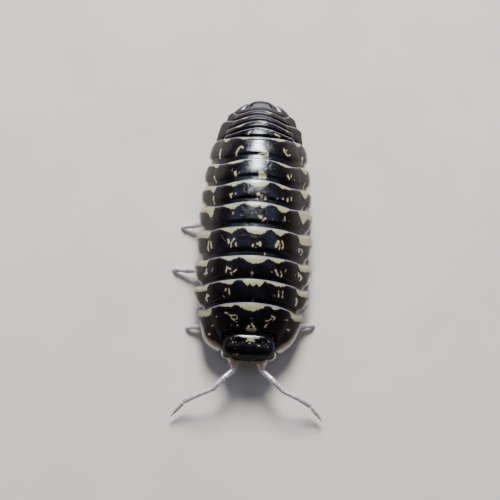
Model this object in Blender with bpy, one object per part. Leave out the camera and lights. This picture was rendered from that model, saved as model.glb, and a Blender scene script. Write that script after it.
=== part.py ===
"""A walking zebra pillbug, life size, as a still model.

The animal's head points to -Y and its tail to +Y, and its feet stand on z = 0.
All the sizes below are in millimetres; MM turns them into metres when a mesh is made.
The back is one long vault, measured by s, the distance along its top line from the head,
and by t, which runs from -1 at the left lower edge over 0 on top to 1 at the right edge.
"""

import math

import bmesh
import bpy
from mathutils import Vector

MM = 0.001

# Where the middle of the body lies, so that the origin is below the middle of the whole animal
BODY_SHIFT = (0.1999, 1.7557)

# The vault of the back
HALF_WIDTH = 3.64
WIDEST_Y = -3.3
FRONT_REACH = 5.25
REAR_REACH = 11.8
REAR_SQUARENESS = 3.0
REAR_FULLNESS = 0.36
EDGE_Z = 1.0
RISE = 3.35
BACK_HALF_LENGTH = 8.9
BACK_SQUARENESS = 2.6
BACK_FULLNESS = 0.75
EDGE_ANGLE = math.radians(84)
FLARE = 0.30
FLARE_START = 0.66
PROFILE_START_Y = -8.4
PROFILE_END_Y = 8.6
PROFILE_STEPS = 1700

# The plates of the thorax, from head to tail
THORAX_START_S = 1.77
PLATE_LENGTHS = (1.72, 1.42, 1.44, 1.81, 1.61, 1.45, 1.45, 1.58)
PLATE_BENDS = (-0.06, 0.04, 0.14, 0.09, -0.07, -0.14, -0.11, 0.20)
PLATE_TURNS = (0.78, 0.78, 0.70, 0.60, 0.50, 0.50, 0.50, 0.50)
PLATE_SWEEPS = (0.16, 0.26, 0.48, 0.56, 0.48, 0.38, 0.48, 0.60)
FRONT_TUCKS = (0.02, 0.15, 0.15, 0.14, 0.14, 0.14, 0.14, 0.14)
REAR_ROUNDINGS = (0.04, 0.03, 0.03, 0.04, 0.07, 0.12, 0.16, 0.16)
COLLAR_SWEEP = -0.90
COLLAR_SPAN = (0.66, 0.88)
PLATE_THICKNESS = 0.52
PLATE_EDGE_THICKNESS = 0.40
LIP_THICKNESS = 0.18
OVERLAP = 0.32
GAP = 0.12
PLATE_CELLS = 22

# The short plates of the tail section
TAIL_LENGTHS = (0.82, 0.67, 0.56, 0.58, 0.40)
TAIL_BENDS = (-0.30, -0.45, -0.45, -0.40, -0.25)
TAIL_TURN = 0.5
TAIL_SWEEPS = (-0.30, -0.72, -0.04, 0.24, 0.70)
TAIL_LEANS = (0.0, 0.0, -0.20, -0.10, -0.06)
TAIL_REACHES = (0.62, 0.60, 1.0, 1.0, 1.0)
TAIL_TUCKS = (0.0, 0.0, 0.05, 0.07, 0.07)
TAIL_ROUNDINGS = (0.0, 0.0, -0.03, -0.03, -0.02)
TAIL_BACKING = 0.16
TAIL_LIP = 0.12
TAIL_OVERLAP = 0.16
TAIL_GAP = 0.08
TAIL_CELLS = 16
TELSON_END_S = 18.20
TELSON_HALF_T = 0.30
TELSON_TAPER = 0.62
UROPOD_T = (0.335, 0.50)
UROPOD_TAPER = 0.44

# The soft underside
BELLY_Z = 1.65
BELLY_HALF_WIDTH = 1.95
CORE_T = 0.56
CORE_OFFSET = 0.64
THORAX_CORE_Y = (-6.95, 5.05)
TAIL_CORE_Y = (5.17, 7.80)
TAIL_CORE_OFFSET = 0.56
TAIL_BELLY_Z = 1.45
CORE_STEPS = 18
TAIL_CORE_STEPS = 7
STERNITE_DEPTH = 0.06

# The gill flaps below the tail section
FLAP_COUNT = 5
FLAP_LENGTH = 0.52
FLAP_HALF_WIDTH = 0.55
FLAP_TOP_Z = 1.37
FLAP_THIN = 0.2
FLAP_THICK = 0.42
FLAP_X = 0.68

# The head, with an eye at each side
HEAD_CENTRE = (0.0, -7.72, 1.84)
HEAD_HALF = (1.60, 0.78, 0.84)
HEAD_REAR_Y = -7.14
HEAD_SQUARENESS = (0.68, 0.78)
HEAD_SEGMENTS = (32, 16)
EYE_CENTRE = (1.44, -7.84, 1.90)
EYE_RADIUS = 0.20
EYE_GAP = 0.05
EYE_SEGMENTS = (16, 10)
MOUTH_CENTRE = (0.0, -7.70, 0.76)
MOUTH_HALF = (0.80, 0.42, 0.2)

# The feelers, as the joints of each one from the face outwards: x, y, z and the radius there
FEELER_LEFT = (
    (-0.84, -8.48, 1.42, 0.27),
    (-0.74, -8.90, 1.32, 0.26),
    (-1.37, -9.59, 1.50, 0.25),
    (-2.07, -10.31, 1.35, 0.25),
    (-3.76, -10.96, 0.75, 0.22),
    (-4.55, -11.86, 0.35, 0.09),
)
FEELER_RIGHT = (
    (0.86, -8.47, 1.42, 0.27),
    (0.79, -8.84, 1.32, 0.26),
    (1.51, -9.61, 1.50, 0.25),
    (2.23, -10.26, 1.35, 0.25),
    (3.87, -10.87, 0.75, 0.22),
    (4.61, -11.70, 0.35, 0.09),
)
FLAGELLUM_GAP = 0.06
TUBE_SIDES = 8
TUBE_WAIST = 0.9

# The legs: where each one leaves the belly, and where its foot stands
LEG_FIRST_Y = -6.2
LEG_LAST_Y = 3.9
LEG_ROOT_X = 1.35
LEG_ROOT_GAP = 0.1
LEG_RADII = (0.27, 0.27, 0.26, 0.22, 0.17, 0.13)
FEET_LEFT = (
    (-3.92, -6.10),
    (-3.30, -4.85),
    (-4.95, -2.39),
    (-3.35, -0.85),
    (-4.55, 0.38),
    (-3.25, 2.55),
    (-3.05, 4.60),
)
FEET_RIGHT = (
    (3.90, -5.60),
    (3.35, -4.20),
    (3.40, -2.95),
    (3.35, -1.35),
    (3.40, 0.70),
    (3.25, 2.25),
    (3.05, 4.35),
)


def smooth_step(low, high, value):
    share = min(max((value - low) / (high - low), 0.0), 1.0)
    return share * share * (3 - 2 * share)


def mix(a, b, share):
    return a + (b - a) * share


def half_width(y):
    """Half the animal's width at its lower edges."""
    along = y - WIDEST_Y
    if along < 0:
        return HALF_WIDTH * math.sqrt(max(0.0, 1 - (along / FRONT_REACH) ** 2))
    closing = max(0.0, 1 - (along / REAR_REACH) ** REAR_SQUARENESS)
    return HALF_WIDTH * closing**REAR_FULLNESS


def back_height(y):
    """Height of the top line of the back above the floor."""
    share = min(abs(y / BACK_HALF_LENGTH), 1.0)
    return EDGE_Z + RISE * (1 - share**BACK_SQUARENESS) ** BACK_FULLNESS


def measure_back():
    """The y of evenly spaced stations, and how far along the back each one lies."""
    stations = []
    length = 0.0
    step = (PROFILE_END_Y - PROFILE_START_Y) / PROFILE_STEPS
    for i in range(PROFILE_STEPS + 1):
        y = PROFILE_START_Y + i * step
        if i:
            length += math.hypot(step, back_height(y) - back_height(y - step))
        stations.append((length, y))
    return stations


BACK_LINE = measure_back()


def y_along(s):
    """The y that lies the distance s along the back."""
    low, high = 0, len(BACK_LINE) - 1
    while high - low > 1:
        middle = (low + high) // 2
        if BACK_LINE[middle][0] < s:
            low = middle
        else:
            high = middle
    (s0, y0), (s1, y1) = BACK_LINE[low], BACK_LINE[high]
    return mix(y0, y1, (s - s0) / (s1 - s0))


def vault_point(y, t):
    """A point of the smooth vault that the plates follow."""
    angle = t * EDGE_ANGLE
    flare = FLARE * (half_width(y) / HALF_WIDTH)
    bell = smooth_step(FLARE_START, 1.6, abs(t)) / smooth_step(FLARE_START, 1.6, 1.0)
    x = (half_width(y) - flare) * math.sin(angle) / math.sin(EDGE_ANGLE)
    x += math.copysign(flare * bell, t)
    lift = (math.cos(angle) - math.cos(EDGE_ANGLE)) / (1 - math.cos(EDGE_ANGLE))
    return Vector((x, y, EDGE_Z + (back_height(y) - EDGE_Z) * lift))


def vault_offset(y, t, height):
    """A point that lies height outside the vault, or inside it if that is negative."""
    step = 0.01
    across = vault_point(y, t + step) - vault_point(y, t - step)
    along = vault_point(y + step, t) - vault_point(y - step, t)
    return vault_point(y, t) + along.cross(across).normalized() * -height


def principled(name, colour, roughness, metallic=0.0):
    material = bpy.data.materials.new(name)
    material.use_nodes = True
    shader = material.node_tree.nodes["Principled BSDF"]
    shader.inputs["Base Color"].default_value = (*colour, 1.0)
    shader.inputs["Roughness"].default_value = roughness
    shader.inputs["Metallic"].default_value = metallic
    material.diffuse_color = (*colour, 1.0)
    return material


def add_solid(name, points, faces, material, body):
    """One closed mesh, from points in millimetres."""
    mesh = bpy.data.meshes.new(name)
    mesh.from_pydata([Vector(p) * MM for p in points], [], faces)
    shape = bmesh.new()
    shape.from_mesh(mesh)
    bmesh.ops.triangulate(shape, faces=shape.faces)
    bmesh.ops.recalc_face_normals(shape, faces=shape.faces)
    shape.to_mesh(mesh)
    shape.free()
    mesh.shade_smooth()
    mesh.set_sharp_from_angle(angle=math.radians(40))
    mesh.materials.append(material)
    solid = bpy.data.objects.new(name, mesh)
    solid.parent = body
    bpy.context.scene.collection.objects.link(solid)
    return solid


def loft(rings, paired_caps=False):
    """Points and faces that join closed rings of equal length, with both ends capped.

    A ring of a shell runs out along its outer side and back along its inner side, so
    paired_caps closes its ends with quads between the two sides.
    """
    sides = len(rings[0])
    points = [p for ring in rings for p in ring]
    faces = []
    for i in range(len(rings) - 1):
        for j in range(sides):
            k = (j + 1) % sides
            a, b = i * sides, (i + 1) * sides
            faces.append((a + j, b + j, b + k, a + k))
    for start, flip in ((0, False), ((len(rings) - 1) * sides, True)):
        if paired_caps:
            caps = [
                (start + j, start + j + 1, start + sides - 2 - j, start + sides - 1 - j)
                for j in range(sides // 2 - 1)
            ]
        else:
            caps = [tuple(start + j for j in range(sides))]
        faces += [tuple(reversed(cap)) if flip else cap for cap in caps]
    return points, faces


def shell_rings(profile, front, rear, reach, t_start, t_end, cells, thin_edge):
    """The rings of an arched plate, from one lower edge over the back to the other.

    profile pairs each outer point with an inner one. A point is a share of the way from
    front to rear, a further distance along the back, and a height above the vault.
    front(t) and rear(t) are places along the back, and reach(share) says how much of the
    whole arch the plate covers there.
    """
    rings = []
    for i in range(cells + 1):
        t = mix(t_start, t_end, i / cells)
        edge = smooth_step(0.8, 1.0, abs(t))
        ring = []
        for side in (0, 1):
            points = []
            for pair in profile:
                share, further, height = pair[side]
                if side and height <= -thin_edge:
                    height = mix(height, -thin_edge, edge)
                covered = t * reach(share)
                s = mix(front(covered), rear(covered), share) + further
                points.append(vault_offset(y_along(s), covered, height))
            ring += points if side == 0 else points[::-1]
        rings.append(ring)
    return rings


def plate_profile(overlap, gap, thickness, lip, depth):
    """A plate's side view: its front tucks under the plate before, its rear lip overlaps the next.

    depth is how far below the vault the tucked front lies; the first plate has no such front.
    """
    front = -overlap if depth else 0.0
    top = -depth if depth else -0.16
    return (
        ((0.0, front, top), (0.0, front if depth else -0.34, -thickness)),
        ((0.06, 0.0, top + (0.02 if depth else 0.1)), (0.2, 0.0, -thickness)),
        ((0.28, 0.0, -0.05), (0.5, 0.0, -thickness)),
        ((0.6, 0.0, 0.03), (1.0, -overlap - gap, -thickness)),
        ((0.9, 0.0, 0.04), (1.0, -overlap - gap + 0.03, -lip)),
        ((1.0, 0.0, -0.03), (1.0, 0.0, -lip + 0.02)),
    )


def border(start, bend, turn, sweep, lean=0.0):
    """A plate's hind border: it lies at start on top, bend further back where t is turn,
    and sweep further back at the lobes. lean sets its right side back and its left ahead."""
    return lambda t: (
        start
        + lean * t
        + bend * smooth_step(turn - 0.5, turn, abs(t))
        + (sweep - bend) * smooth_step(turn - 0.05, 0.92, abs(t))
    )


def collar(t):
    """The front edge of the first plate, whose lobes reach forward beside the head."""
    return THORAX_START_S + COLLAR_SWEEP * smooth_step(*COLLAR_SPAN, abs(t))


def make_thorax_plates(material, body):
    front, s = collar, THORAX_START_S
    for i, length in enumerate(PLATE_LENGTHS):
        s += length
        rear = border(s, PLATE_BENDS[i], PLATE_TURNS[i], PLATE_SWEEPS[i])
        tuck, rounding = FRONT_TUCKS[i], REAR_ROUNDINGS[i]
        depth = LIP_THICKNESS + GAP if i else 0.0
        profile = plate_profile(OVERLAP, GAP, PLATE_THICKNESS, LIP_THICKNESS, depth)
        rings = shell_rings(
            profile,
            front,
            rear,
            lambda share, a=tuck, b=rounding: 1 - a * (1 - share) ** 1.4 - b * share**5,
            -1.0,
            1.0,
            PLATE_CELLS,
            PLATE_EDGE_THICKNESS,
        )
        add_solid(f"plate_{i + 1}", *loft(rings, True), material, body)
        front = rear
    return front, s


def make_tail_plates(front, s, material, body):
    for i, length in enumerate(TAIL_LENGTHS):
        s += length
        rear = border(s, TAIL_BENDS[i], TAIL_TURN, TAIL_SWEEPS[i], TAIL_LEANS[i])
        wide = TAIL_REACHES[i]
        depth = TAIL_LIP + TAIL_GAP if i else LIP_THICKNESS + GAP
        thickness = depth + TAIL_BACKING
        profile = plate_profile(TAIL_OVERLAP, TAIL_GAP, thickness, TAIL_LIP, depth)
        rings = shell_rings(
            profile,
            front,
            rear,
            lambda share, a=TAIL_TUCKS[i], b=TAIL_ROUNDINGS[i]: 1 - a * (1 - share) - b * share**4,
            -wide,
            wide,
            TAIL_CELLS,
            thickness,
        )
        add_solid(f"tail_plate_{i + 1}", *loft(rings, True), material, body)
        front = rear
    return front, s


def make_tail_end(front, material, body):
    """The telson in the middle, and a flat uropod at each side of it; they narrow to the rear."""
    end = border(TELSON_END_S, 0.0, TAIL_TURN, 0.0)
    depth = TAIL_LIP + TAIL_GAP
    thickness = depth + TAIL_BACKING
    profile = plate_profile(TAIL_OVERLAP, TAIL_GAP, thickness, TAIL_LIP, depth)[:4]
    profile = (*profile, ((1.0, 0.0, -0.08), (1.0, 0.0, 0.06 - thickness)))
    spans = (
        ("telson", -TELSON_HALF_T, TELSON_HALF_T, TELSON_TAPER, 8),
        ("uropod_left", -UROPOD_T[1], -UROPOD_T[0], UROPOD_TAPER, 4),
        ("uropod_right", UROPOD_T[0], UROPOD_T[1], UROPOD_TAPER, 4),
    )
    for name, t_start, t_end, taper, cells in spans:
        rings = shell_rings(
            profile,
            front,
            end,
            lambda share, taper=taper: 1 - taper * share,
            t_start,
            t_end,
            cells,
            thickness,
        )
        add_solid(name, *loft(rings, True), material, body)


def core_rings(span, steps, offset, belly_z, furrows):
    """The soft body below the plates: arched above, nearly flat below."""
    rings = []
    for i in range(steps + 1):
        y = mix(*span, i / steps)
        arch = [vault_offset(y, CORE_T * (j / 4 - 1), -offset) for j in range(9)]
        low = belly_z + furrows * math.cos(math.pi * i)
        narrow = min(1.0, half_width(y) / HALF_WIDTH * 1.05)
        wide = min(BELLY_HALF_WIDTH * narrow, arch[-1].x - 0.02)
        below = [Vector((wide * share, y, low)) for share in (0.95, 0.5, 0, -0.5, -0.95)]
        below[0].z += 0.08
        below[-1].z += 0.08
        rings.append(arch + below)
    return rings


def make_underside(material, body):
    thorax = core_rings(THORAX_CORE_Y, CORE_STEPS, CORE_OFFSET, BELLY_Z, STERNITE_DEPTH)
    add_solid("underside", *loft(thorax), material, body)
    tail = core_rings(TAIL_CORE_Y, TAIL_CORE_STEPS, TAIL_CORE_OFFSET, TAIL_BELLY_Z, 0.0)
    add_solid("tail_underside", *loft(tail), material, body)


def make_gill_flaps(material, body):
    """Five flaps at each side, each one's rear edge lying over the next."""
    for side, name in ((-1, "gill_flaps_left"), (1, "gill_flaps_right")):
        rings = []
        for k in range(FLAP_COUNT):
            y = TAIL_CORE_Y[0] + 0.1 + k * FLAP_LENGTH
            for ahead, thick in ((0.0, FLAP_THIN), (0.94, FLAP_THICK)):
                narrow = 1 - 0.09 * (k + ahead)
                centre = Vector((side * FLAP_X * narrow, y + ahead * FLAP_LENGTH, FLAP_TOP_Z))
                wide = FLAP_HALF_WIDTH * narrow
                rings.append(
                    [
                        centre + Vector((-wide, 0, 0)),
                        centre + Vector((wide, 0, 0)),
                        centre + Vector((wide, 0, -thick * 0.6)),
                        centre + Vector((wide * 0.6, 0, -thick)),
                        centre + Vector((-wide * 0.6, 0, -thick)),
                        centre + Vector((-wide, 0, -thick * 0.6)),
                    ]
                )
        add_solid(name, *loft(rings), material, body)


def signed_power(value, power):
    return math.copysign(abs(value) ** power, value)


def rounded_block(centre, half, squareness, segments, rear_y=None):
    """A block between a ball and a box, with its rear cut flat where rear_y is given."""
    around, up = segments
    points = []
    for i in range(1, up):
        tilt = -math.pi / 2 + math.pi * i / up
        for j in range(around):
            turn = 2 * math.pi * j / around
            flat = signed_power(math.cos(tilt), squareness[1])
            points.append(
                (
                    half[0] * flat * signed_power(math.cos(turn), squareness[0]),
                    half[1] * flat * signed_power(math.sin(turn), squareness[0]),
                    half[2] * signed_power(math.sin(tilt), squareness[1]),
                )
            )
    points += [(0, 0, -half[2]), (0, 0, half[2])]
    points = [Vector(centre) + Vector(p) for p in points]
    if rear_y is not None:
        for p in points:
            p.y = min(p.y, rear_y)
    faces = []
    bottom, top = len(points) - 2, len(points) - 1
    for i in range(up - 2):
        for j in range(around):
            k = (j + 1) % around
            a, b = i * around, (i + 1) * around
            faces.append((a + j, a + k, b + k, b + j))
    last = (up - 2) * around
    for j in range(around):
        k = (j + 1) % around
        faces.append((bottom, k, j))
        faces.append((top, last + j, last + k))
    return points, faces


def cut(solid, cutter):
    """Takes the cutter's shape out of the solid, for good."""
    cutter.hide_render = True
    cutter.display_type = "WIRE"
    boolean = solid.modifiers.new("socket", "BOOLEAN")
    boolean.operation = "DIFFERENCE"
    boolean.object = cutter
    bpy.context.view_layer.update()
    graph = bpy.context.evaluated_depsgraph_get()
    mesh = bpy.data.meshes.new_from_object(solid.evaluated_get(graph))
    solid.modifiers.remove(boolean)
    solid.data = mesh
    bpy.data.objects.remove(cutter)


def make_head(shell, eye, flesh, body):
    block = rounded_block(
        HEAD_CENTRE, HEAD_HALF, HEAD_SQUARENESS, HEAD_SEGMENTS, HEAD_REAR_Y
    )
    head = add_solid("head", *block, shell, body)
    for side, name in ((-1, "eye_left"), (1, "eye_right")):
        centre = (side * EYE_CENTRE[0], EYE_CENTRE[1], EYE_CENTRE[2])
        wide = [EYE_RADIUS + EYE_GAP] * 3
        socket = rounded_block(centre, wide, (1, 1), EYE_SEGMENTS)
        cut(head, add_solid("socket", *socket, shell, body))
        ball = rounded_block(centre, [EYE_RADIUS] * 3, (1, 1), EYE_SEGMENTS)
        add_solid(name, *ball, eye, body)
    mouth = rounded_block(MOUTH_CENTRE, MOUTH_HALF, (0.8, 0.8), (16, 8))
    add_solid("mouthparts", *mouth, flesh, body)


def tube_rings(joints, flat_end=False):
    """Rings round a jointed limb, a little slimmer in the middle of each article."""
    stops = []
    for i in range(len(joints) - 1):
        a, b = Vector(joints[i]), Vector(joints[i + 1])
        stops.append(a)
        middle = a.lerp(b, 0.5)
        middle.w *= TUBE_WAIST
        stops.append(middle)
    stops.append(Vector(joints[-1]))
    rings = []
    aside = Vector((0, 1, 0))
    for i, stop in enumerate(stops):
        before = stops[max(i - 1, 0)].xyz
        after = stops[min(i + 1, len(stops) - 1)].xyz
        way = (after - before).normalized()
        if flat_end and i == len(stops) - 1:
            way = Vector((0, 0, -1))
        aside = (aside - way * aside.dot(way)).normalized()
        other = way.cross(aside)
        rings.append(
            [
                stop.xyz
                + aside * stop.w * math.cos(2 * math.pi * j / TUBE_SIDES)
                + other * stop.w * math.sin(2 * math.pi * j / TUBE_SIDES)
                for j in range(TUBE_SIDES)
            ]
        )
    return rings


def make_feelers(material, body):
    for name, joints in (("left", FEELER_LEFT), ("right", FEELER_RIGHT)):
        add_solid(f"antenna_{name}", *loft(tube_rings(joints[:-1])), material, body)
        root, tip = Vector(joints[-2]), Vector(joints[-1])
        way = (tip.xyz - root.xyz).normalized()
        root.xyz += way * FLAGELLUM_GAP * 2
        root.w *= 0.86
        whip = loft(tube_rings((root, tip)))
        add_solid(f"antenna_whip_{name}", *whip, material, body)


def leg_joints(root_y, foot):
    """A leg comes down from the belly, bends outwards under the lobes and stands on its foot."""
    side = math.copysign(1, foot[0])
    reach = abs(foot[0])
    inner = min(0.5 * reach + 0.72, 2.75) * half_width(root_y) / HALF_WIDTH
    low = 0.98 - 0.5 * max(0.0, min(reach - 3.4, 0.5))
    outer = mix(inner, reach, 0.62)
    spots = (
        (LEG_ROOT_X, root_y, BELLY_Z - STERNITE_DEPTH - LEG_ROOT_GAP),
        (LEG_ROOT_X + 0.12, root_y, BELLY_Z - 0.42),
        (inner, mix(root_y, foot[1], 0.45), low),
        (outer, mix(root_y, foot[1], 0.75), 0.42),
        (mix(outer, reach, 0.75), mix(root_y, foot[1], 0.93), 0.23),
        (reach, foot[1], 0.0),
    )
    return [(side * x, y, z, r) for (x, y, z), r in zip(spots, LEG_RADII)]


def make_legs(material, body):
    for name, feet in (("left", FEET_LEFT), ("right", FEET_RIGHT)):
        for i, foot in enumerate(feet):
            root_y = mix(LEG_FIRST_Y, LEG_LAST_Y, i / (len(feet) - 1))
            rings = tube_rings(leg_joints(root_y, foot), flat_end=True)
            add_solid(f"leg_{name}_{i + 1}", *loft(rings), material, body)


def main():
    for old in list(bpy.data.objects):
        bpy.data.objects.remove(old)
    body = bpy.data.objects.new("pillbug", None)
    body.location = (BODY_SHIFT[0] * MM, BODY_SHIFT[1] * MM, 0)
    bpy.context.scene.collection.objects.link(body)
    shell = principled("black_shell", (0.012, 0.012, 0.016), 0.22)
    tail = principled("tail_shell", (0.03, 0.024, 0.022), 0.3)
    limb = principled("pale_limb", (0.55, 0.52, 0.5), 0.35)
    flesh = principled("underside_skin", (0.42, 0.38, 0.34), 0.5)
    eye = principled("eye_black", (0.004, 0.004, 0.005), 0.1)
    front, s = make_thorax_plates(shell, body)
    front, s = make_tail_plates(front, s, tail, body)
    make_tail_end(front, tail, body)
    make_underside(flesh, body)
    make_gill_flaps(flesh, body)
    make_head(shell, eye, flesh, body)
    make_feelers(limb, body)
    make_legs(limb, body)


main()
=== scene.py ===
"""The looks of a zebra pillbug, life size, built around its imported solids.

Sizes are in millimetres in the body's own frame, as in the solids' source: the head points to -Y,
s is the distance along the top line of the back, and t runs from -1 at the left lower edge over
0 on top to 1 at the right edge. build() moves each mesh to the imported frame, in metres.
"""

import math

import bpy
import numpy as np
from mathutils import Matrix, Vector


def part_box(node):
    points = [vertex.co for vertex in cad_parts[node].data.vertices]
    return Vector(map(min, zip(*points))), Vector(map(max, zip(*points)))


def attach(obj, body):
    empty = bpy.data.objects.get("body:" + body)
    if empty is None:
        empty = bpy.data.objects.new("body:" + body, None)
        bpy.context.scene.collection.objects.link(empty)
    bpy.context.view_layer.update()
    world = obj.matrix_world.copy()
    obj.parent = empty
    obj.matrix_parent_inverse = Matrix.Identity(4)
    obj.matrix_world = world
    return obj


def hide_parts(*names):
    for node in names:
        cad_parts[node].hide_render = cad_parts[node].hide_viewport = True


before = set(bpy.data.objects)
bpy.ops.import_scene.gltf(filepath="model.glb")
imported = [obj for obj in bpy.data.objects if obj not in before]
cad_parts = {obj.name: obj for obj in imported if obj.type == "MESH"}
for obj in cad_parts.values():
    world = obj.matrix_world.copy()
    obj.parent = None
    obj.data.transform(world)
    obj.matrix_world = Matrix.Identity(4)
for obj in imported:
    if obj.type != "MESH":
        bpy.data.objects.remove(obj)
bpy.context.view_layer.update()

MM = 0.001
HUNDREDTHS = 100

# A distance that no marking reaches
FAR = 9.0

# The vault of the back: its half width and where it is widest, how it closes ahead and behind, the
# height of its lower edges and its rise above them, its side view, and the flare of its edges
HALF_WIDTH = 3.64
WIDEST_Y = -3.3
FRONT_REACH = 5.25
REAR_REACH = 11.8
REAR_SQUARENESS = 3.0
REAR_FULLNESS = 0.36
EDGE_Z = 1.0
RISE = 3.35
BACK_HALF_LENGTH = 8.9
BACK_SQUARENESS = 2.6
BACK_FULLNESS = 0.75
EDGE_ANGLE = math.radians(84)
FLARE = 0.30
FLARE_START = 0.66
PROFILE_START_Y = -8.4
PROFILE_END_Y = 8.6
PROFILE_STEPS = 1700

# The plates of the thorax: their lengths along the back, their hind borders as border() takes them,
# and how far each plate's front and rear are drawn in at the sides; and the first plate's collar
THORAX_START_S = 1.77
PLATE_LENGTHS = (1.72, 1.42, 1.44, 1.81, 1.61, 1.45, 1.45, 1.58)
PLATE_BENDS = (-0.06, 0.04, 0.14, 0.09, -0.07, -0.14, -0.11, 0.20)
PLATE_TURNS = (0.78, 0.78, 0.70, 0.60, 0.50, 0.50, 0.50, 0.50)
PLATE_SWEEPS = (0.16, 0.26, 0.48, 0.56, 0.48, 0.38, 0.48, 0.60)
FRONT_TUCKS = (0.02, 0.15, 0.15, 0.14, 0.14, 0.14, 0.14, 0.14)
REAR_ROUNDINGS = (0.04, 0.03, 0.03, 0.04, 0.07, 0.12, 0.16, 0.16)
COLLAR_SWEEP = -0.90
COLLAR_SPAN = (0.47, 0.70)

# The short plates of the tail section in the same way, the share of the arch that each one covers,
# and the telson and the uropods behind them
TAIL_LENGTHS = (0.82, 0.67, 0.56, 0.58, 0.40)
TAIL_BENDS = (-0.30, -0.45, -0.45, -0.40, -0.25)
TAIL_TURN = 0.5
TAIL_SWEEPS = (-0.30, -0.72, -0.04, 0.24, 0.70)
TAIL_LEANS = (0.0, 0.0, -0.20, -0.10, -0.06)
TAIL_FULL_T = (0.92, 0.92, 0.92, 0.86, 0.7)
TAIL_REACHES = (0.62, 0.60, 1.0, 1.0, 1.0)
TAIL_TUCKS = (0.0, 0.0, 0.05, 0.07, 0.07)
TAIL_ROUNDINGS = (0.0, 0.0, -0.03, -0.03, -0.02)
TELSON_END_S = 18.20
TELSON_HALF_T = 0.30
TELSON_TAPER = 0.62
UROPOD_T = (0.335, 0.50)
UROPOD_TAPER = 0.44

# The head and its eyes
HEAD_CENTRE = (0.0, -7.72, 1.84)
HEAD_HALF = (1.60, 0.78, 0.84)
HEAD_REAR_Y = -7.14
HEAD_SQUARENESS = (0.68, 0.78)
EYE_CENTRE = (1.44, -7.84, 1.90)
EYE_RADIUS = 0.20

# The legs: where the first and the last pair start, the belly, the radius at each joint from the
# belly down, and the x and y of each foot
LEG_FIRST_Y = -6.2
LEG_LAST_Y = 3.9
LEG_ROOT_X = 1.35
BELLY_Z = 1.65
LEG_RADII = (0.22, 0.21, 0.2, 0.17, 0.14, 0.06)
LEG_BRISTLES = 7
FEET = {
    "left": (
        (-3.92, -6.10), (-3.30, -4.85), (-4.95, -2.39), (-3.35, -0.85), (-4.55, 0.38),
        (-3.25, 2.55), (-3.05, 4.60),
    ),
    "right": (
        (3.90, -5.60), (3.35, -4.20), (3.40, -2.95), (3.35, -1.35), (3.40, 0.70), (3.25, 2.25),
        (3.05, 4.35),
    ),
}

# A feeler's articles from the face outwards: x, y, z and the radius at each joint
FEELERS = {
    "left": (
        (-1.00, -8.28, 1.42, 0.27), (-0.86, -8.62, 1.40, 0.28), (-0.80, -8.94, 1.33, 0.165),
        (-1.37, -9.59, 1.50, 0.155), (-2.07, -10.31, 1.35, 0.125), (-3.76, -10.96, 0.75, 0.13),
        (-4.55, -11.86, 0.35, 0.02),
    ),
    "right": (
        (0.96, -8.30, 1.42, 0.28), (0.78, -8.64, 1.40, 0.26), (0.82, -8.94, 1.33, 0.155),
        (1.51, -9.61, 1.50, 0.155), (2.23, -10.26, 1.35, 0.125), (3.87, -10.87, 0.75, 0.13),
        (4.61, -11.70, 0.35, 0.02),
    ),
}

# How brown each article is, and how it bows up; the last one before the whip is slim at its root
FEELER_BROWNS = (1.0, 0.85, 0.1, 0.0, 0.0)
FEELER_RISES = (0.0, 0.0, 0.03, 0.04, 0.1)
LAST_ARTICLE_RADII = (0.12, 0.15)

# The whip: the share of its length where its two articles meet, and the radii from root to tip
WHIP_JOINT_SHARE = 0.45
WHIP_RADII = (0.14, 0.13, 0.045)

# How many bristles stand on an article and on the whip, and how far each is turned from the last
FEELER_BRISTLES = 9
WHIP_BRISTLES = 10
BRISTLE_TURN = 2.4

# The camera, as it stood for the photo
CAMERA_TARGET = (-0.22, -1.75, 2.5)
CAMERA_TILT = math.radians(70)
CAMERA_TURN = math.radians(2.8)
CAMERA_DISTANCE = 150
CAMERA_LENS = 178.56

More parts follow.
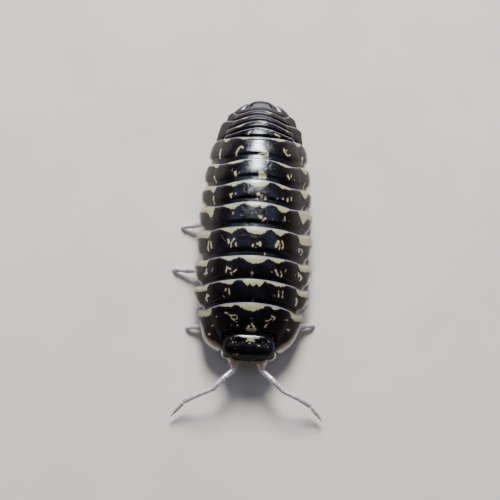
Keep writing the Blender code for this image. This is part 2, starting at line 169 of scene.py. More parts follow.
# Cream borders of the plates, in hundredths: pairs of t and how far ahead of the hind edge the
# border reaches there
BORDERS = (
    (
        (-100, 50), (-80, 47), (-66, 43), (-63, 32), (-61, 5), (-50, 4), (-42, 12), (-36, 18),
        (-27, 22), (-21, 10), (-17, 18), (-12, 30), (-5, 45), (3, 50), (10, 42), (16, 30),
        (22, 13), (27, 10), (31, 20), (36, 27), (40, 15), (47, 5), (59, 5), (64, 15), (69, 36),
        (78, 47), (90, 50), (100, 50),
    ),
    (
        (-100, 40), (-90, 35), (-80, 38), (-66, 37), (-63, 15), (-61, 4), (-46, 5), (-40, 12),
        (-35, 20), (-30, 27), (-25, 30), (-21, 15), (-18, 6), (-12, 8), (-9, 25), (-5, 42),
        (-2.5, 32), (2, 43), (5.5, 30), (10, 45), (13, 30), (16, 8), (21, 14), (30, 22), (37, 25),
        (42, 18), (47, 5), (65, 5), (67, 25), (70, 35), (77, 38), (85, 40), (100, 45),
    ),
    (
        (-100, 40), (-90, 38), (-80, 42), (-67, 41), (-64, 15), (-62, 3), (-44, 4), (-38, 18),
        (-33, 27), (-27, 30), (-22, 18), (-17, 12), (-12, 17), (-9, 30), (-6, 42), (1, 47),
        (8, 46), (13, 38), (17, 18), (20, 10), (24, 20), (28, 27), (33, 30), (38, 18), (43, 5),
        (60, 5), (66, 8), (68, 35), (72, 45), (80, 48), (90, 45), (100, 50),
    ),
    (
        (-100, 45), (-90, 47), (-80, 50), (-70, 52), (-66, 45), (-63, 25), (-61, 3), (-52, 2),
        (-45, 6), (-38, 20), (-33, 32), (-28, 42), (-24, 28), (-20, 13), (-15, 8), (-10, 14),
        (-8, 30), (-4, 42), (2, 50), (8, 45), (13, 35), (17, 17), (21, 10), (25, 25), (30, 40),
        (34, 42), (38, 28), (42, 14), (50, 4), (62, 5), (65, 30), (67, 55), (72, 66), (80, 72),
        (86, 68), (92, 58), (100, 50),
    ),
    (
        (-100, 40), (-88, 32), (-84, 40), (-75, 40), (-70, 50), (-65, 72), (-62, 75), (-60, 55),
        (-58, 10), (-55, 3), (-45, 4), (-40, 15), (-36, 25), (-30, 38), (-26, 42), (-22, 28),
        (-18, 14), (-14, 10), (-10, 18), (-5, 35), (0, 42), (3, 33), (5.5, 22), (8, 40), (10, 42),
        (13, 28), (17, 13), (22, 10), (27, 16), (30, 34), (34, 40), (40, 38), (43, 22), (47, 8),
        (52, 4), (61, 5), (65, 35), (68, 60), (70, 85), (72, 95), (76, 75), (82, 50), (88, 55),
        (100, 40),
    ),
    (
        (-100, 30), (-80, 30), (-70, 28), (-67, 42), (-63, 48), (-60, 35), (-58, 5), (-45, 3),
        (-40, 12), (-35, 22), (-28, 32), (-22, 24), (-17, 16), (-11, 20), (-7, 38), (-2, 50),
        (4, 50), (10, 42), (14, 28), (17, 10), (22, 5), (28, 13), (33, 25), (38, 22), (46, 18),
        (50, 5), (62, 4), (67, 12), (69, 30), (72, 50), (76, 65), (79, 50), (82, 30), (90, 25),
        (100, 20),
    ),
    (
        (-100, 25), (-75, 20), (-70, 22), (-67, 30), (-63, 33), (-60, 20), (-58, 3), (-47, 3),
        (-42, 7), (-38, 15), (-33, 20), (-25, 20), (-18, 12), (-12, 8), (-5, 22), (5, 24),
        (12, 10), (18, 5), (24, 5), (28, 12), (33, 20), (40, 20), (45, 16), (50, 6), (60, 3),
        (70, 6), (73, 28), (78, 50), (82, 42), (85, 22), (100, 20),
    ),
    (
        (-100, 5), (-61, 3), (-59, 15), (-56, 27), (-52, 30), (-48, 20), (-46, 4), (-36, 4),
        (-30, 10), (-22, 22), (-17, 18), (-10, 8), (0, 12), (10, 8), (20, 12), (28, 21), (33, 25),
        (38, 18), (43, 7), (50, 3), (61, 4), (63, 20), (66, 30), (70, 33), (75, 20), (78, 5),
        (100, 4),
    ),
    ((-62, 2), (-2, 3), (0, 10), (10, 12), (20, 10), (22, 2), (62, 2)),
    (
        (-60, 2), (-43, 2), (-38, 14), (-33, 20), (-28, 14), (-24, 3), (-7, 3), (-2, 15), (6, 28),
        (12, 12), (15, 3), (42, 3), (46, 10), (50, 10), (53, 2), (60, 2),
    ),
    (
        (-100, 0), (-42, 1), (-36, 8), (-28, 15), (-20, 8), (-17, 2), (34, 2), (40, 7), (44, 1),
        (100, 0),
    ),
    ((-100, 0), (2, 0), (6, 10), (17, 25), (25, 8), (28, 0), (100, 0)),
    ((-100, 0), (100, 0)),
)

# Cream spots and streaks on each plate, in hundredths: half the streak's width, then t and the
# distance ahead of the hind edge of each point that it runs through
STREAKS = (
    (
        (4, (-37, 54), (-34, 58)), (3, (-35, 58), (-29, 75), (-28, 88)),
        (3.5, (-29, 75), (-21, 76)), (5.5, (-27, 95), (-24, 103)),
        (3.5, (-20, 78), (-19, 98), (-24, 102)), (3.5, (-21, 115)), (4, (-19.5, 137)),
        (3, (-30, 136)), (5, (-54, 66)), (5.5, (-69, 106), (-67, 108)),
        (5.5, (-79, 155), (-77, 153)), (5.5, (69, 110), (73, 111)), (3.5, (32, 64), (34, 74)),
        (3.5, (35, 68), (38, 74), (36, 86)), (3.5, (32, 84), (29, 97)), (4, (24.5, 102), (27, 97)),
        (5, (27, 122), (25.5, 138)), (3, (29, 112)), (3.5, (57, 64)), (6, (61.5, 59)),
        (3, (2, 95)), (5, (3.5, 125)), (6, (-1, 140), (-3, 155)), (6, (6, 138), (8, 155)),
        (6, (3.5, 128), (3.5, 134)), (9, (-4, 164), (10, 163)), (6, (-5, 174), (10, 174)),
    ),
    (
        (5, (-34, 63), (-33, 56)), (4, (-29, 58), (-28.5, 90)), (4.5, (36, 54), (36.5, 85)),
        (5, (42, 50)), (3.5, (42, 55), (42.5, 85)), (4, (30.5, 84)), (3.5, (3, 120), (3, 132)),
        (7, (-66, 65), (-69, 85), (-67, 105)), (6, (-62, 75), (-68, 80)),
        (8, (68, 65), (70, 78), (68.5, 105)),
    ),
    (
        (9, (-66, 63), (-67, 75)), (10, (-65, 85)), (9, (-69, 90)), (5, (-32, 68), (-33, 102)),
        (5, (-32, 75), (-27, 81)), (4.5, (-19.5, 88), (-23, 100)), (8.5, (-26, 111)),
        (9, (0, 113)), (4.5, (29, 77), (33, 109)), (4, (36, 81), (38, 97), (37, 111)),
        (6, (66, 56), (67, 80)), (7, (69, 70), (73, 85), (70, 100)),
    ),
    (
        (7.5, (-65, 72), (-66, 110), (-64, 128)), (6, (-60, 76), (-58, 114)),
        (7.5, (-32, 82), (-31, 102)), (5, (-24, 78), (-28, 105), (-28, 130)),
        (4.5, (-22, 107), (-21, 127)), (5, (-0.5, 115), (-1, 130)), (8, (5, 110), (8, 112)),
        (6, (8, 100), (8, 120)), (3, (3, 133)), (9, (31, 81), (28, 113)), (4, (33, 97), (33, 127)),
        (5, (36, 74), (38, 100), (37, 122)), (5, (15, 160), (15, 168)), (6.5, (65, 92), (66, 110)),
        (5.5, (69, 92), (73, 112), (69, 132)),
    ),
    (
        (4.5, (-28, 63), (-28, 73)), (3, (-18, 89)), (7.5, (5.5, 95), (8, 105)),
        (7, (13, 106), (10, 120)), (4, (6, 114)), (3.5, (16, 121)), (4, (39, 66), (38.5, 89)),
    ),
    (
        (5, (-33, 81), (-32, 106)), (4, (-34, 82), (-30, 83)), (5.5, (-26, 86)), (12, (3, 100)),
        (10, (7, 112)), (12, (12, 116)), (6, (2, 122)), (4, (27.5, 106)), (6, (35, 94)),
        (6.5, (42, 82), (42, 97)), (5, (48, 67), (47.5, 82)), (7.5, (-61, 76), (-61, 116)),
        (6, (75, 106), (71, 136)),
    ),
    (
        (8.5, (-29, 87), (-28, 107)), (3, (-23, 96)), (17, (5, 105)), (18, (9, 120)),
        (12, (4, 130)), (6.5, (42, 78), (44, 98)), (4, (48, 53), (47, 78)),
        (7, (-65, 92), (-61, 127)), (6.5, (77, 111), (75, 146)),
    ),
    (
        (5.5, (-22, 92), (-24, 79), (-27, 92), (-30, 119), (-31, 140)), (17, (7, 112)),
        (10, (0, 95), (4, 100)), (14, (12, 128)), (10, (2, 128)),
        (5.5, (37, 80), (37, 95), (41, 122), (46, 119), (47, 110)), (6, (41, 87)),
        (9, (-60, 88), (-60, 143)), (9, (74, 115), (75, 149)),
    ),
    ((5, (-17, 45), (-14, 30)), (5.5, (24, 27), (32, 33))),
    (),
    (),
    (),
    (),
)

# The same for greyer, weaker spots
FAINT_STREAKS = (
    ((3, (36, 87), (35, 96)),),
    ((4, (-38, 93), (-36, 102)), (3, (36, 114))),
    (
        (3, (-77, 59)), (5, (-85, 74)), (5, (-54, 68), (-55, 84)), (3.5, (-32.5, 126)),
        (3, (24, 90), (25, 98)), (4, (44, 61), (43, 76)), (4, (60, 80)),
    ),
    ((2, (-43, 47), (-36, 89)), (4, (59, 101))),
    ((5, (-61, 84)), (3, (3, 105)), (3, (22, 104)), (4, (36, 94)), (3, (44.5, 85))),
    (),
    ((3, (-33, 57), (-34, 72)), (4.5, (53, 91))),
    (),
    (),
    (),
    (),
    (),
    (),
)

# How wide the bluish hind line of each plate is, whose bluish tint is partly a painted
# reflection, and how much that changes on the lobes of the last tail plates
LINE_WIDTHS = (0.1, 0.09, 0.08, 0.08, 0.09, 0.09, 0.08, 0.08, 0.07, 0.08, 0.085, 0.08, 0.06)
LINE_CHANGES = {10: 0.7, 11: 0.5, 12: -0.85}

# How far each plate's lobes turn from black-brown to grey-brown
LOBE_TONES = (0.0, 0.0, 0.05, 0.1, 0.25, 0.5, 0.7, 0.85, 1, 1.1, 1.25, 1.35, 1.4)

# Spots on top of the head, in hundredths: half the width, then x and y; and the weaker ones
HEAD_STREAKS = (
    (4.5, (-42, -735), (0, -738)), (7, (-10, -738), (30, -740)), (5, (30, -740), (55, -738)),
    (10, (0, -748), (20, -750)), (4, (-14, -760), (5, -755)), (4, (34, -760), (18, -756)),
    (4, (9, -756), (11, -776)), (4, (-106, -748)), (3.5, (-96, -765)), (4, (-67, -836)),
    (2.5, (52, -783), (68, -785)), (3, (93, -785)),
)
HEAD_FAINT_STREAKS = (
    (4, (-85, -748)), (4, (-77, -767)), (3.5, (-88, -835)), (3.5, (-81, -808)), (3.5, (81, -762)),
    (4.5, (115, -749), (125, -753)), (3.5, (103, -770)), (3.5, (114, -786)), (3, (-35, -766)),
)

# The width of the unrolled back for one unit of t, where the animal is widest
ACROSS = 5.2

# The share of each plate's length that its low front band takes, and the band's height there
BAND_SHARES = (0.0, 0.12, 0.12, 0.15, 0.16, 0.15, 0.16, 0.16)
BAND_HEIGHTS = (0.0, -0.17, -0.17, -0.16, -0.14, -0.1, -0.07, -0.07)

# How high each plate's crown swells above the vault
CROWNS = (0.0, 0.01, 0.01, 0.01, 0.012, 0.03, 0.05, 0.05)

# The mesh of a plate: its columns and rows, how far its front tucks under the plate before, its
# thickness, the radius of its hind lip, and how much thinner it gets at the sides
PLATE_COLUMNS = 232
PLATE_ROWS = 52
TUCK = 0.28
FIRST_CURL = 0.12
PLATE_BODY = 0.2
LIP_RADIUS = 0.05
TAIL_COLUMNS = 180
TAIL_ROWS = 34
TAIL_STEP = 0.12
TAIL_TUCK = 0.15
TAIL_BODY = 0.16
TAIL_LIP_RADIUS = 0.04
END_ROUNDING_T = 0.014
SIDE_THINNING = 0.62

# How the outer faces rise and fall: the first plate's front edge and how far its left and right
# lobes swell beside the head, the later plates' low band, rise and crown, and every hind edge
FRONT_DROOP = 0.1
LOBE_DROOP = 0.02
FRONT_ROUNDING = 0.09
FIRST_SWELLS = (0.30, 0.14)
BAND_SLOPE = 0.12
BAND_RISE = 0.14
CROWN_SHARE = 0.42
CROWN_SPREAD = 0.36
HIND_FALL = 0.03
HIND_FALL_START = 0.86
TAIL_SHINGLE = 0.1
TAIL_HIND_FALL = 0.02

# The furrow between back and lobe, the swelling of the lobe, and the hollow on a tail plate
FURROW_T = 0.665
FURROW_DEPTH = 0.012
LOBE_MIDDLE_T = 0.83
LOBE_SWELL = 0.04
TAIL_HOLLOW_T = 0.52
TAIL_HOLLOW_DEPTH = 0.03


def smooth_step(low, high, value):
    share = np.clip((value - low) / (high - low), 0, 1)
    return share * share * (3 - 2 * share)


def mix(a, b, share):
    return a + (b - a) * share


def bell(value, centre, spread):
    return np.exp(-(((value - centre) / spread) ** 2))


def unit(way):
    """A vector, or each row of several, with its length made 1."""
    return way / np.linalg.norm(way, axis=-1, keepdims=True)


def half_width(y):
    """Half the animal's width at its lower edges."""
    along = y - WIDEST_Y
    ahead = np.sqrt(np.clip(1 - (along / FRONT_REACH) ** 2, 0, None))
    closing = np.clip(1 - (np.clip(along, 0, None) / REAR_REACH) ** REAR_SQUARENESS, 0, None)
    return HALF_WIDTH * np.where(along < 0, ahead, closing**REAR_FULLNESS)


def back_height(y):
    """Height of the top line of the back above the floor."""
    share = np.clip(np.abs(y / BACK_HALF_LENGTH), 0, 1)
    return EDGE_Z + RISE * (1 - share**BACK_SQUARENESS) ** BACK_FULLNESS


BACK_Y = np.linspace(PROFILE_START_Y, PROFILE_END_Y, PROFILE_STEPS + 1)
BACK_S = np.concatenate([[0], np.cumsum(np.hypot(np.diff(BACK_Y), np.diff(back_height(BACK_Y))))])


def y_along(s):
    """The y that lies the distance s along the back."""
    return np.interp(s, BACK_S, BACK_Y)


def vault_point(y, t):
    """A point of the smooth vault that the plates follow."""
    angle = t * EDGE_ANGLE
    flare = FLARE * (half_width(y) / HALF_WIDTH)
    spread = smooth_step(FLARE_START, 1.6, np.abs(t)) / smooth_step(FLARE_START, 1.6, 1.0)
    x = (half_width(y) - flare) * np.sin(angle) / math.sin(EDGE_ANGLE)
    x = x + np.sign(t) * flare * spread
    lift = (np.cos(angle) - math.cos(EDGE_ANGLE)) / (1 - math.cos(EDGE_ANGLE))
    return np.stack([x, y, EDGE_Z + (back_height(y) - EDGE_Z) * lift], -1)


def vault_offset(y, t, height):
    """Points that lie height outside the vault, or inside it where that is negative."""
    step = 0.01
    across = vault_point(y, t + step) - vault_point(y, t - step)
    along = vault_point(y + step, t) - vault_point(y - step, t)
    return vault_point(y, t) + unit(np.cross(across, along)) * height[..., None]


def unrolled_width(y):
    return ACROSS * half_width(y) / HALF_WIDTH


def border(start, bend, turn, sweep, lean=0.0, full=0.92):
    """A plate's hind border: at start on top, bend further back at turn, sweep from full on."""
    return lambda t: (
        start
        + lean * t
        + bend * smooth_step(turn - 0.5, turn, np.abs(t))
        + (sweep - bend) * smooth_step(turn - 0.05, full, np.abs(t))
    )


def collar(t):
    """The front edge of the first plate, whose lobes reach forward beside the head."""
    return THORAX_START_S + COLLAR_SWEEP * smooth_step(*COLLAR_SPAN, np.abs(t))


def streak_distance(across, along, streaks, scale):
    """How far each point lies inside the nearest streak, in millimetres; negative outside all."""
    inside = np.full(np.shape(across), -FAR)
    for radius, *stops in streaks:
        stops = np.array(stops if len(stops) > 1 else stops * 2) / HUNDREDTHS
        for (u0, v0), (u1, v1) in zip(stops, stops[1:]):
            du, dv = (u1 - u0) * scale, v1 - v0
            pu, pv = (across - u0) * scale, along - v0
            share = np.clip((pu * du + pv * dv) / (du * du + dv * dv + 1e-9), 0, 1)
            away = np.hypot(pu - share * du, pv - share * dv)
            inside = np.maximum(inside, radius / HUNDREDTHS - away)
    return inside


# Meshes


def body_shift():
    """Where the body frame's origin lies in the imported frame, in millimetres, from the eyes."""
    corners = [corner for side in ("left", "right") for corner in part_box(f"eye_{side}")]
    middle = sum(corners, Vector()) / (len(corners) * MM)
    return np.array([middle.x, middle.y - EYE_CENTRE[1], 0.0])


SHIFT = body_shift()


def clean_faces(faces):
    """Faces without repeated corners, and without those that have collapsed."""
    kept = []
    for face in faces:
        face = [corner for i, corner in enumerate(face) if corner != face[i - 1]]
        if len(set(face)) == len(face) > 2:
            kept.append(face)
    return kept


def signed_volume(points, faces):
    corners = np.array([(f[0], f[i], f[i + 1]) for f in faces for i in range(1, len(f) - 1)])
    a, b, c = (points[corners[:, i]] for i in range(3))
    return np.einsum("ij,ij->i", a, np.cross(b, c)).sum() / 6


def join_shapes(shapes):
    """One shape from several: each is its points, its faces and its named values per point."""
    points, faces, values = [], [], {}
    start = 0
    for shape_points, shape_faces, shape_values in shapes:
        if signed_volume(shape_points, shape_faces) < 0:
            shape_faces = [face[::-1] for face in shape_faces]
        points.append(shape_points)
        faces += [[corner + start for corner in face] for face in shape_faces]
        start += len(shape_points)
        for name, value in shape_values.items():
            values.setdefault(name, []).append(np.broadcast_to(value, len(shape_points)))
    return np.concatenate(points), faces, {n: np.concatenate(v) for n, v in values.items()}


def add_object(name, data):
    added = bpy.data.objects.new(name, data)
    bpy.context.scene.collection.objects.link(added)
    return added


def build(name, shapes, material, stands_for):
    """A piece of the visual model from closed shapes, which stands for its solids."""
    points, faces, values = join_shapes(shapes)
    used = np.unique(np.concatenate([np.array(face) for face in faces]))
    renumber = np.full(len(points), -1)
    renumber[used] = np.arange(len(used))
    mesh = bpy.data.meshes.new(name)
    mesh.from_pydata(
        ((points[used] + SHIFT) * MM).tolist(), [], [renumber[face].tolist() for face in faces]
    )
    for label, value in values.items():
        attribute = mesh.attributes.new(label, "FLOAT", "POINT")
        attribute.data.foreach_set("value", value[used].astype(np.float32))
    mesh.validate()
    mesh.shade_smooth()
    mesh.materials.append(material)
    piece = add_object(name, mesh)
    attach(piece, "root")
    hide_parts(*stands_for)


def grid_faces(index):
    """Quads between the neighbours of a grid of point numbers."""
    a, b = index[:-1, :-1], index[1:, :-1]
    c, d = index[1:, 1:], index[:-1, 1:]
    return np.stack([a, b, c, d], -1).reshape(-1, 4).tolist()


def ring_faces(rows, sides):
    """Faces between rings of points, closed at the two ends by the two points that follow them."""
    index = np.arange(rows * sides).reshape(rows, sides)
    index = np.concatenate([index, index[:, :1]], 1)
    first, last = rows * sides, rows * sides + 1
    low, high = index[0].tolist(), index[-1].tolist()
    faces = grid_faces(index) + [[first, b, a] for a, b in zip(low, low[1:])]
    return faces + [[last, a, b] for a, b in zip(high, high[1:])]


def hind_fall(share):
    """How far the outer face falls towards the hind lip."""
    return HIND_FALL * smooth_step(HIND_FALL_START, 1.0, share)


def first_profile(share, t):
    """Height of the first plate's outer face above the vault: rounded down at its front edge."""
    droop = FRONT_DROOP * smooth_step(0.62, 0.42, np.abs(t)) + LOBE_DROOP
    return -droop * (1 - smooth_step(0.0, FRONT_ROUNDING, share)) - hind_fall(share)


def thorax_profile(share, band, low, crown):
    """A low band where the plate before ends, a quick rise, a gentle crown and the hind lip."""
    low_face = low + BAND_SLOPE * (band - share)
    outer = mix(low_face, 0.0, smooth_step(band, band + BAND_RISE, share))
    return outer + crown * bell(share, CROWN_SHARE, CROWN_SPREAD) - hind_fall(share)


def tail_profile(share, t):
    """Stepped below the plate before in the middle; the free lobes lie like shingles."""
    covered = -TAIL_STEP * (1 - smooth_step(0.12, 0.42, share))
    shingle = -TAIL_SHINGLE * (1 - share)
    outer = mix(covered, shingle, smooth_step(0.54, 0.66, np.abs(t)))
    return outer - TAIL_HIND_FALL * smooth_step(0.8, 1.0, share)


def plate_rows(body, lip, rows, tucked, slope=0.25):
    """The rows of a plate from its front to its hind edge, in the plate's side view.

    Each row has a share of the way between the borders, a further distance along the back, how
    far the outer face is let down there, how deep the middle of the shell lies, and half its
    thickness.
    """
    share = np.linspace(0, 1, rows + 1)
    half = mix(body / 2, lip, smooth_step(0.45, 0.97, share))
    further = -lip * share
    down = share * 0
    if tucked:
        ahead = np.linspace(-tucked, 0, 5)[:-1]
        share = np.concatenate([ahead * 0, share])
        down = np.concatenate([slope * ahead, down])
        half = np.concatenate([ahead * 0 + half[0], half])
        further = np.concatenate([ahead, further])
    turn = np.linspace(0, math.pi / 2, 7)[1:]
    sink = np.concatenate([half, turn * 0 + lip])
    share = np.concatenate([share, turn * 0 + 1])
    further = np.concatenate([further, lip * (np.sin(turn) - 1)])
    down = np.concatenate([down, turn * 0])
    half = np.concatenate([half, lip * np.cos(turn)])
    return share, further, down, sink, half


def plate_columns(span, columns, radius_t):
    """The t of each column, and how far its two sides are apart: they close at the ends."""
    turn = np.linspace(0, math.pi / 2, 6)[1:]
    ends = radius_t * (1 - np.sin(turn))
    between = np.linspace(span[0] + radius_t, span[1] - radius_t, columns + 1)
    t = np.concatenate([(span[0] + ends)[::-1], between, span[1] - ends])
    pinch = np.concatenate([np.cos(turn)[::-1], np.ones(columns + 1), np.cos(turn)])
    return t, pinch


def border_depth(t, number):
    """How far the cream border reaches ahead of the hind edge, in rounded bulges."""
    spots, depths = np.array(BORDERS[number]).T / HUNDREDTHS
    after = np.clip(np.searchsorted(spots, t), 1, len(spots) - 1)
    return mix(depths[after - 1], depths[after], smooth_step(spots[after - 1], spots[after], t))


def plate_values(number, covered, back, ahead, wide, widest):
    """What the shell's paint reads on a plate: distances to markings, line and rim, and a tone."""
    side = np.abs(covered)
    edge = (widest - side) * wide
    if number == 0:
        # The first plate's rim also runs around the front of its lobes
        edge = edge * mix(0.45, 1.0, smooth_step(0.4, 2.0, ahead))
        edge = np.minimum(edge, 0.7 * ahead - 0.05 + 3 * smooth_step(0.84, 0.7, side))
    line_change = LINE_CHANGES.get(number, 0) * smooth_step(0.55, 0.68, side)
    return {
        "marking": streak_distance(covered, back, STREAKS[number], wide),
        "faint": streak_distance(covered, back, FAINT_STREAKS[number], wide),
        "band": np.clip(border_depth(covered, number) - back, -FAR, 0.25),
        "hind": back / (LINE_WIDTHS[number] * (1 + line_change)),
        "edge": edge,
        "aside": side,
        "tone": LOBE_TONES[number] + 0 * covered,
    }


def two_sided(outer, inner, values):
    """A closed shape from the grids of its two sides; only the outer side has markings."""
    count = outer.shape[0] * outer.shape[1]
    outside = np.arange(count).reshape(outer.shape[:2])
    inside = outside + count
    # The two sides share their points where they meet: along the hind lip and at both ends
    inside[:, -1] = outside[:, -1]
    inside[0] = outside[0]
    inside[-1] = outside[-1]
    fronts = np.stack([outside[:, 0], inside[:, 0]], 1)
    faces = grid_faces(outside) + grid_faces(inside[:, ::-1]) + grid_faces(fronts[::-1])
    points = np.concatenate([outer.reshape(-1, 3), inner.reshape(-1, 3)])
    both = {}
    for name, value in values.items():
        value = value.reshape(-1)
        hidden = value * 0 - 1 if name in ("marking", "faint", "band") else value
        both[name] = np.concatenate([value, hidden])
    return points, clean_faces(faces), both


def plate_shape(number, front, rear, reach, span, rows, profile, columns, relief):
    """One arched shell plate as a thin closed shape, with its markings as values per point."""
    share, further, down, sink, half = (row[None, :] for row in rows)
    t, pinch = (column[:, None] for column in plate_columns(span, columns, END_ROUNDING_T))
    covered = t * reach(share)
    side = np.abs(covered)
    if number == 0:
        # Only the middle of the first plate's front edge curls down, behind the head
        curled = 0.1 + 0.9 * smooth_step(0.58, 0.44, side)
        further = np.where(further < -LIP_RADIUS, further * curled, further)
        down = down * curled
    s = mix(front(covered), rear(covered), share) + further
    y = y_along(s)
    half = half * mix(1.0, SIDE_THINNING, smooth_step(0.75, 1.0, np.abs(t))) * pinch
    middle = profile(share, covered) + down - sink
    lift = relief(covered, share)
    if number == 0:
        swell = np.where(covered < 0, *FIRST_SWELLS) * smooth_step(0.62, 0.86, side)
        lift = lift + swell * bell(share, 0.3, 0.26)
    outer = vault_offset(y, covered, middle + half + lift)
    inner = vault_offset(y, covered, middle - half + lift * smooth_step(1.0, 0.9, share))
    back, ahead = rear(covered) - s, s - front(covered)
    widest = reach(share) * max(abs(span[0]), abs(span[1]))
    values = plate_values(number, covered, back, ahead, unrolled_width(y), widest)
    return two_sided(outer, inner, values)


def thorax_relief(t, share):
    """The furrow where the lobe meets the back, and the gentle swelling of the lobe itself."""
    side = np.abs(t)
    furrow = -FURROW_DEPTH * bell(side, FURROW_T, 0.03) * smooth_step(0.25, 0.5, share)
    swell = LOBE_SWELL * bell(side, LOBE_MIDDLE_T, 0.1) * smooth_step(0.15, 0.45, share)
    return (furrow + swell) * (1 - smooth_step(0.9, 1.0, share))


def tail_relief(t, share):
    """A slight hollow where a tail plate's lobe begins."""
    hollow = -TAIL_HOLLOW_DEPTH * bell(np.abs(t), TAIL_HOLLOW_T, 0.04)
    return hollow * smooth_step(0.2, 0.5, share) * (1 - smooth_step(0.9, 1, share))


def make_thorax(material):
    """The large plates of the back; it gives the last one's hind border and its s on top."""
    front, s = collar, THORAX_START_S
    for i, length in enumerate(PLATE_LENGTHS):
        s += length
        rear = border(s, PLATE_BENDS[i], PLATE_TURNS[i], PLATE_SWEEPS[i])
        tucked = (TUCK, 0.25) if i else (FIRST_CURL, 1.0)
        rows = plate_rows(PLATE_BODY, LIP_RADIUS, PLATE_ROWS, *tucked)
        profile = first_profile
        if i:
            low_band = (BAND_SHARES[i], BAND_HEIGHTS[i], CROWNS[i])
            profile = lambda share, t, low_band=low_band: thorax_profile(share, *low_band)
        reach = lambda share, a=FRONT_TUCKS[i], b=REAR_ROUNDINGS[i]: (
            1 - a * (1 - share) ** 1.4 - b * share**5
        )
        shape = plate_shape(
            i, front, rear, reach, (-1, 1), rows, profile, PLATE_COLUMNS, thorax_relief
        )
        build(f"back_plate_{i + 1}", [shape], material, [f"plate_{i + 1}"])
        front = rear
    return front, s


def make_tail(front, s, material):
    """The short plates behind them, and the tail's end."""
    rows = plate_rows(TAIL_BODY, TAIL_LIP_RADIUS, TAIL_ROWS, TAIL_TUCK)
    for i, length in enumerate(TAIL_LENGTHS):
        s += length
        rear = border(s, TAIL_BENDS[i], TAIL_TURN, TAIL_SWEEPS[i], TAIL_LEANS[i], TAIL_FULL_T[i])
        span = (-TAIL_REACHES[i], TAIL_REACHES[i])
        reach = lambda share, a=TAIL_TUCKS[i], b=TAIL_ROUNDINGS[i]: (
            1 - a * (1 - share) - b * share**4
        )
        number = len(PLATE_LENGTHS) + i
        shape = plate_shape(
            number, front, rear, reach, span, rows, tail_profile, TAIL_COLUMNS, tail_relief
        )
        build(f"tail_shell_{i + 1}", [shape], material, [f"tail_plate_{i + 1}"])
        front = rear
    make_tail_end(front, rows, material)


def make_tail_end(front, rows, material):
    """The telson in the middle, and a flat uropod at each side of it."""
    end = border(TELSON_END_S, 0.0, TAIL_TURN, 0.0)
    number = len(BORDERS) - 1
    no_relief = lambda t, share: 0 * t
    spans = (
        ("telson_shell", "telson", (-TELSON_HALF_T, TELSON_HALF_T), TELSON_TAPER, 60),
        ("uropod_shell_left", "uropod_left", (-UROPOD_T[1], -UROPOD_T[0]), UROPOD_TAPER, 30),
        ("uropod_shell_right", "uropod_right", UROPOD_T, UROPOD_TAPER, 30),
    )
    for name, solid, span, taper, columns in spans:
        reach = lambda share, taper=taper: 1 - taper * share
        shape = plate_shape(
            number, front, end, reach, span, rows, tail_profile, columns, no_relief
        )
        build(name, [shape], material, [solid])


# Jointed limbs


def tube(path, radii, sides=20, flat=1.0, ribs=0.0, values=None):
    """A closed tube along a line of points, with rounded or pointed ends as the radii say."""
    path = np.asarray(path, float)
    ways = unit(np.gradient(path, axis=0))
    aside = np.cross(ways[0], (0, 0, 1))
    if np.linalg.norm(aside) < 0.2:
        aside = np.array([0.0, 1.0, 0.0])
    turns = np.arange(sides) * 2 * math.pi / sides
    rings = []
    for point, way, radius in zip(path, ways, radii):
        aside = unit(aside - way * aside.dot(way))
        over = np.cross(way, aside)
        girth = radius * (1 + ribs * np.cos(6 * turns))
        ring = point + np.outer(girth * np.cos(turns), aside)
        rings.append(ring + np.outer(girth * np.sin(turns) * flat, over))
    points = np.concatenate([*rings, path[:1], path[-1:]])
    spread = {
        name: np.concatenate([np.repeat(value, sides), value[:1], value[-1:]])
        for name, value in (values or {}).items()
    }
    return points, ring_faces(len(path), sides), spread


def article(start, end, radii, bow, rows, sides, flat=1.0, tip=False, brown=0.0):
    """One article of a limb: a slim neck, a fuller middle and a flared, rounded far end."""
    start, end, bow = (np.asarray(v, float) for v in (start, end, bow))
    u = np.concatenate([[0, 0.015, 0.04], np.linspace(0.08, 0.9, rows), [0.94, 0.97, 0.99, 1.0]])
    path = start + np.outer(u, end - start) + np.outer(4 * u * (1 - u), bow)
    girth = mix(*radii, u)
    neck = mix(0.7, 1.0, smooth_step(0.0, 0.12, u))
    waist = 1 - 0.05 * bell(u, 0.45, 0.22)
    flared = 1 + 0.14 * bell(u, 0.93, 0.05)
    closing = np.sqrt(np.clip(1 - (np.clip(u - 0.94, 0, 1) / 0.06) ** 2, 0, 1))
    opening = np.sqrt(np.clip(1 - (np.clip(0.04 - u, 0, 1) / 0.04) ** 2, 0, 1))
    radii = girth * neck * waist * flared * closing * opening
    if tip:
        radii = girth * opening * np.where(u > 0.97, 0.7 * closing, 1.0)
    joint = np.maximum(bell(u, 0.0, 0.05), bell(u, 1.0, 0.04))
    values = {"joint": joint, "brown": brown + 0 * u}
    return tube(path, np.maximum(radii, 0.002), sides, flat, 0.025, values)


def bristle(root, way, length, thick):
    """One short stiff hair, as a slim cone."""
    root, way = np.asarray(root, float), unit(np.asarray(way, float))
    path = [root - way * thick, root + way * length * 0.5, root + way * length]
    plain = {"joint": np.zeros(3), "brown": np.full(3, 0.2)}
    return tube(path, [thick, thick * 0.6, 0.001], 5, values=plain)


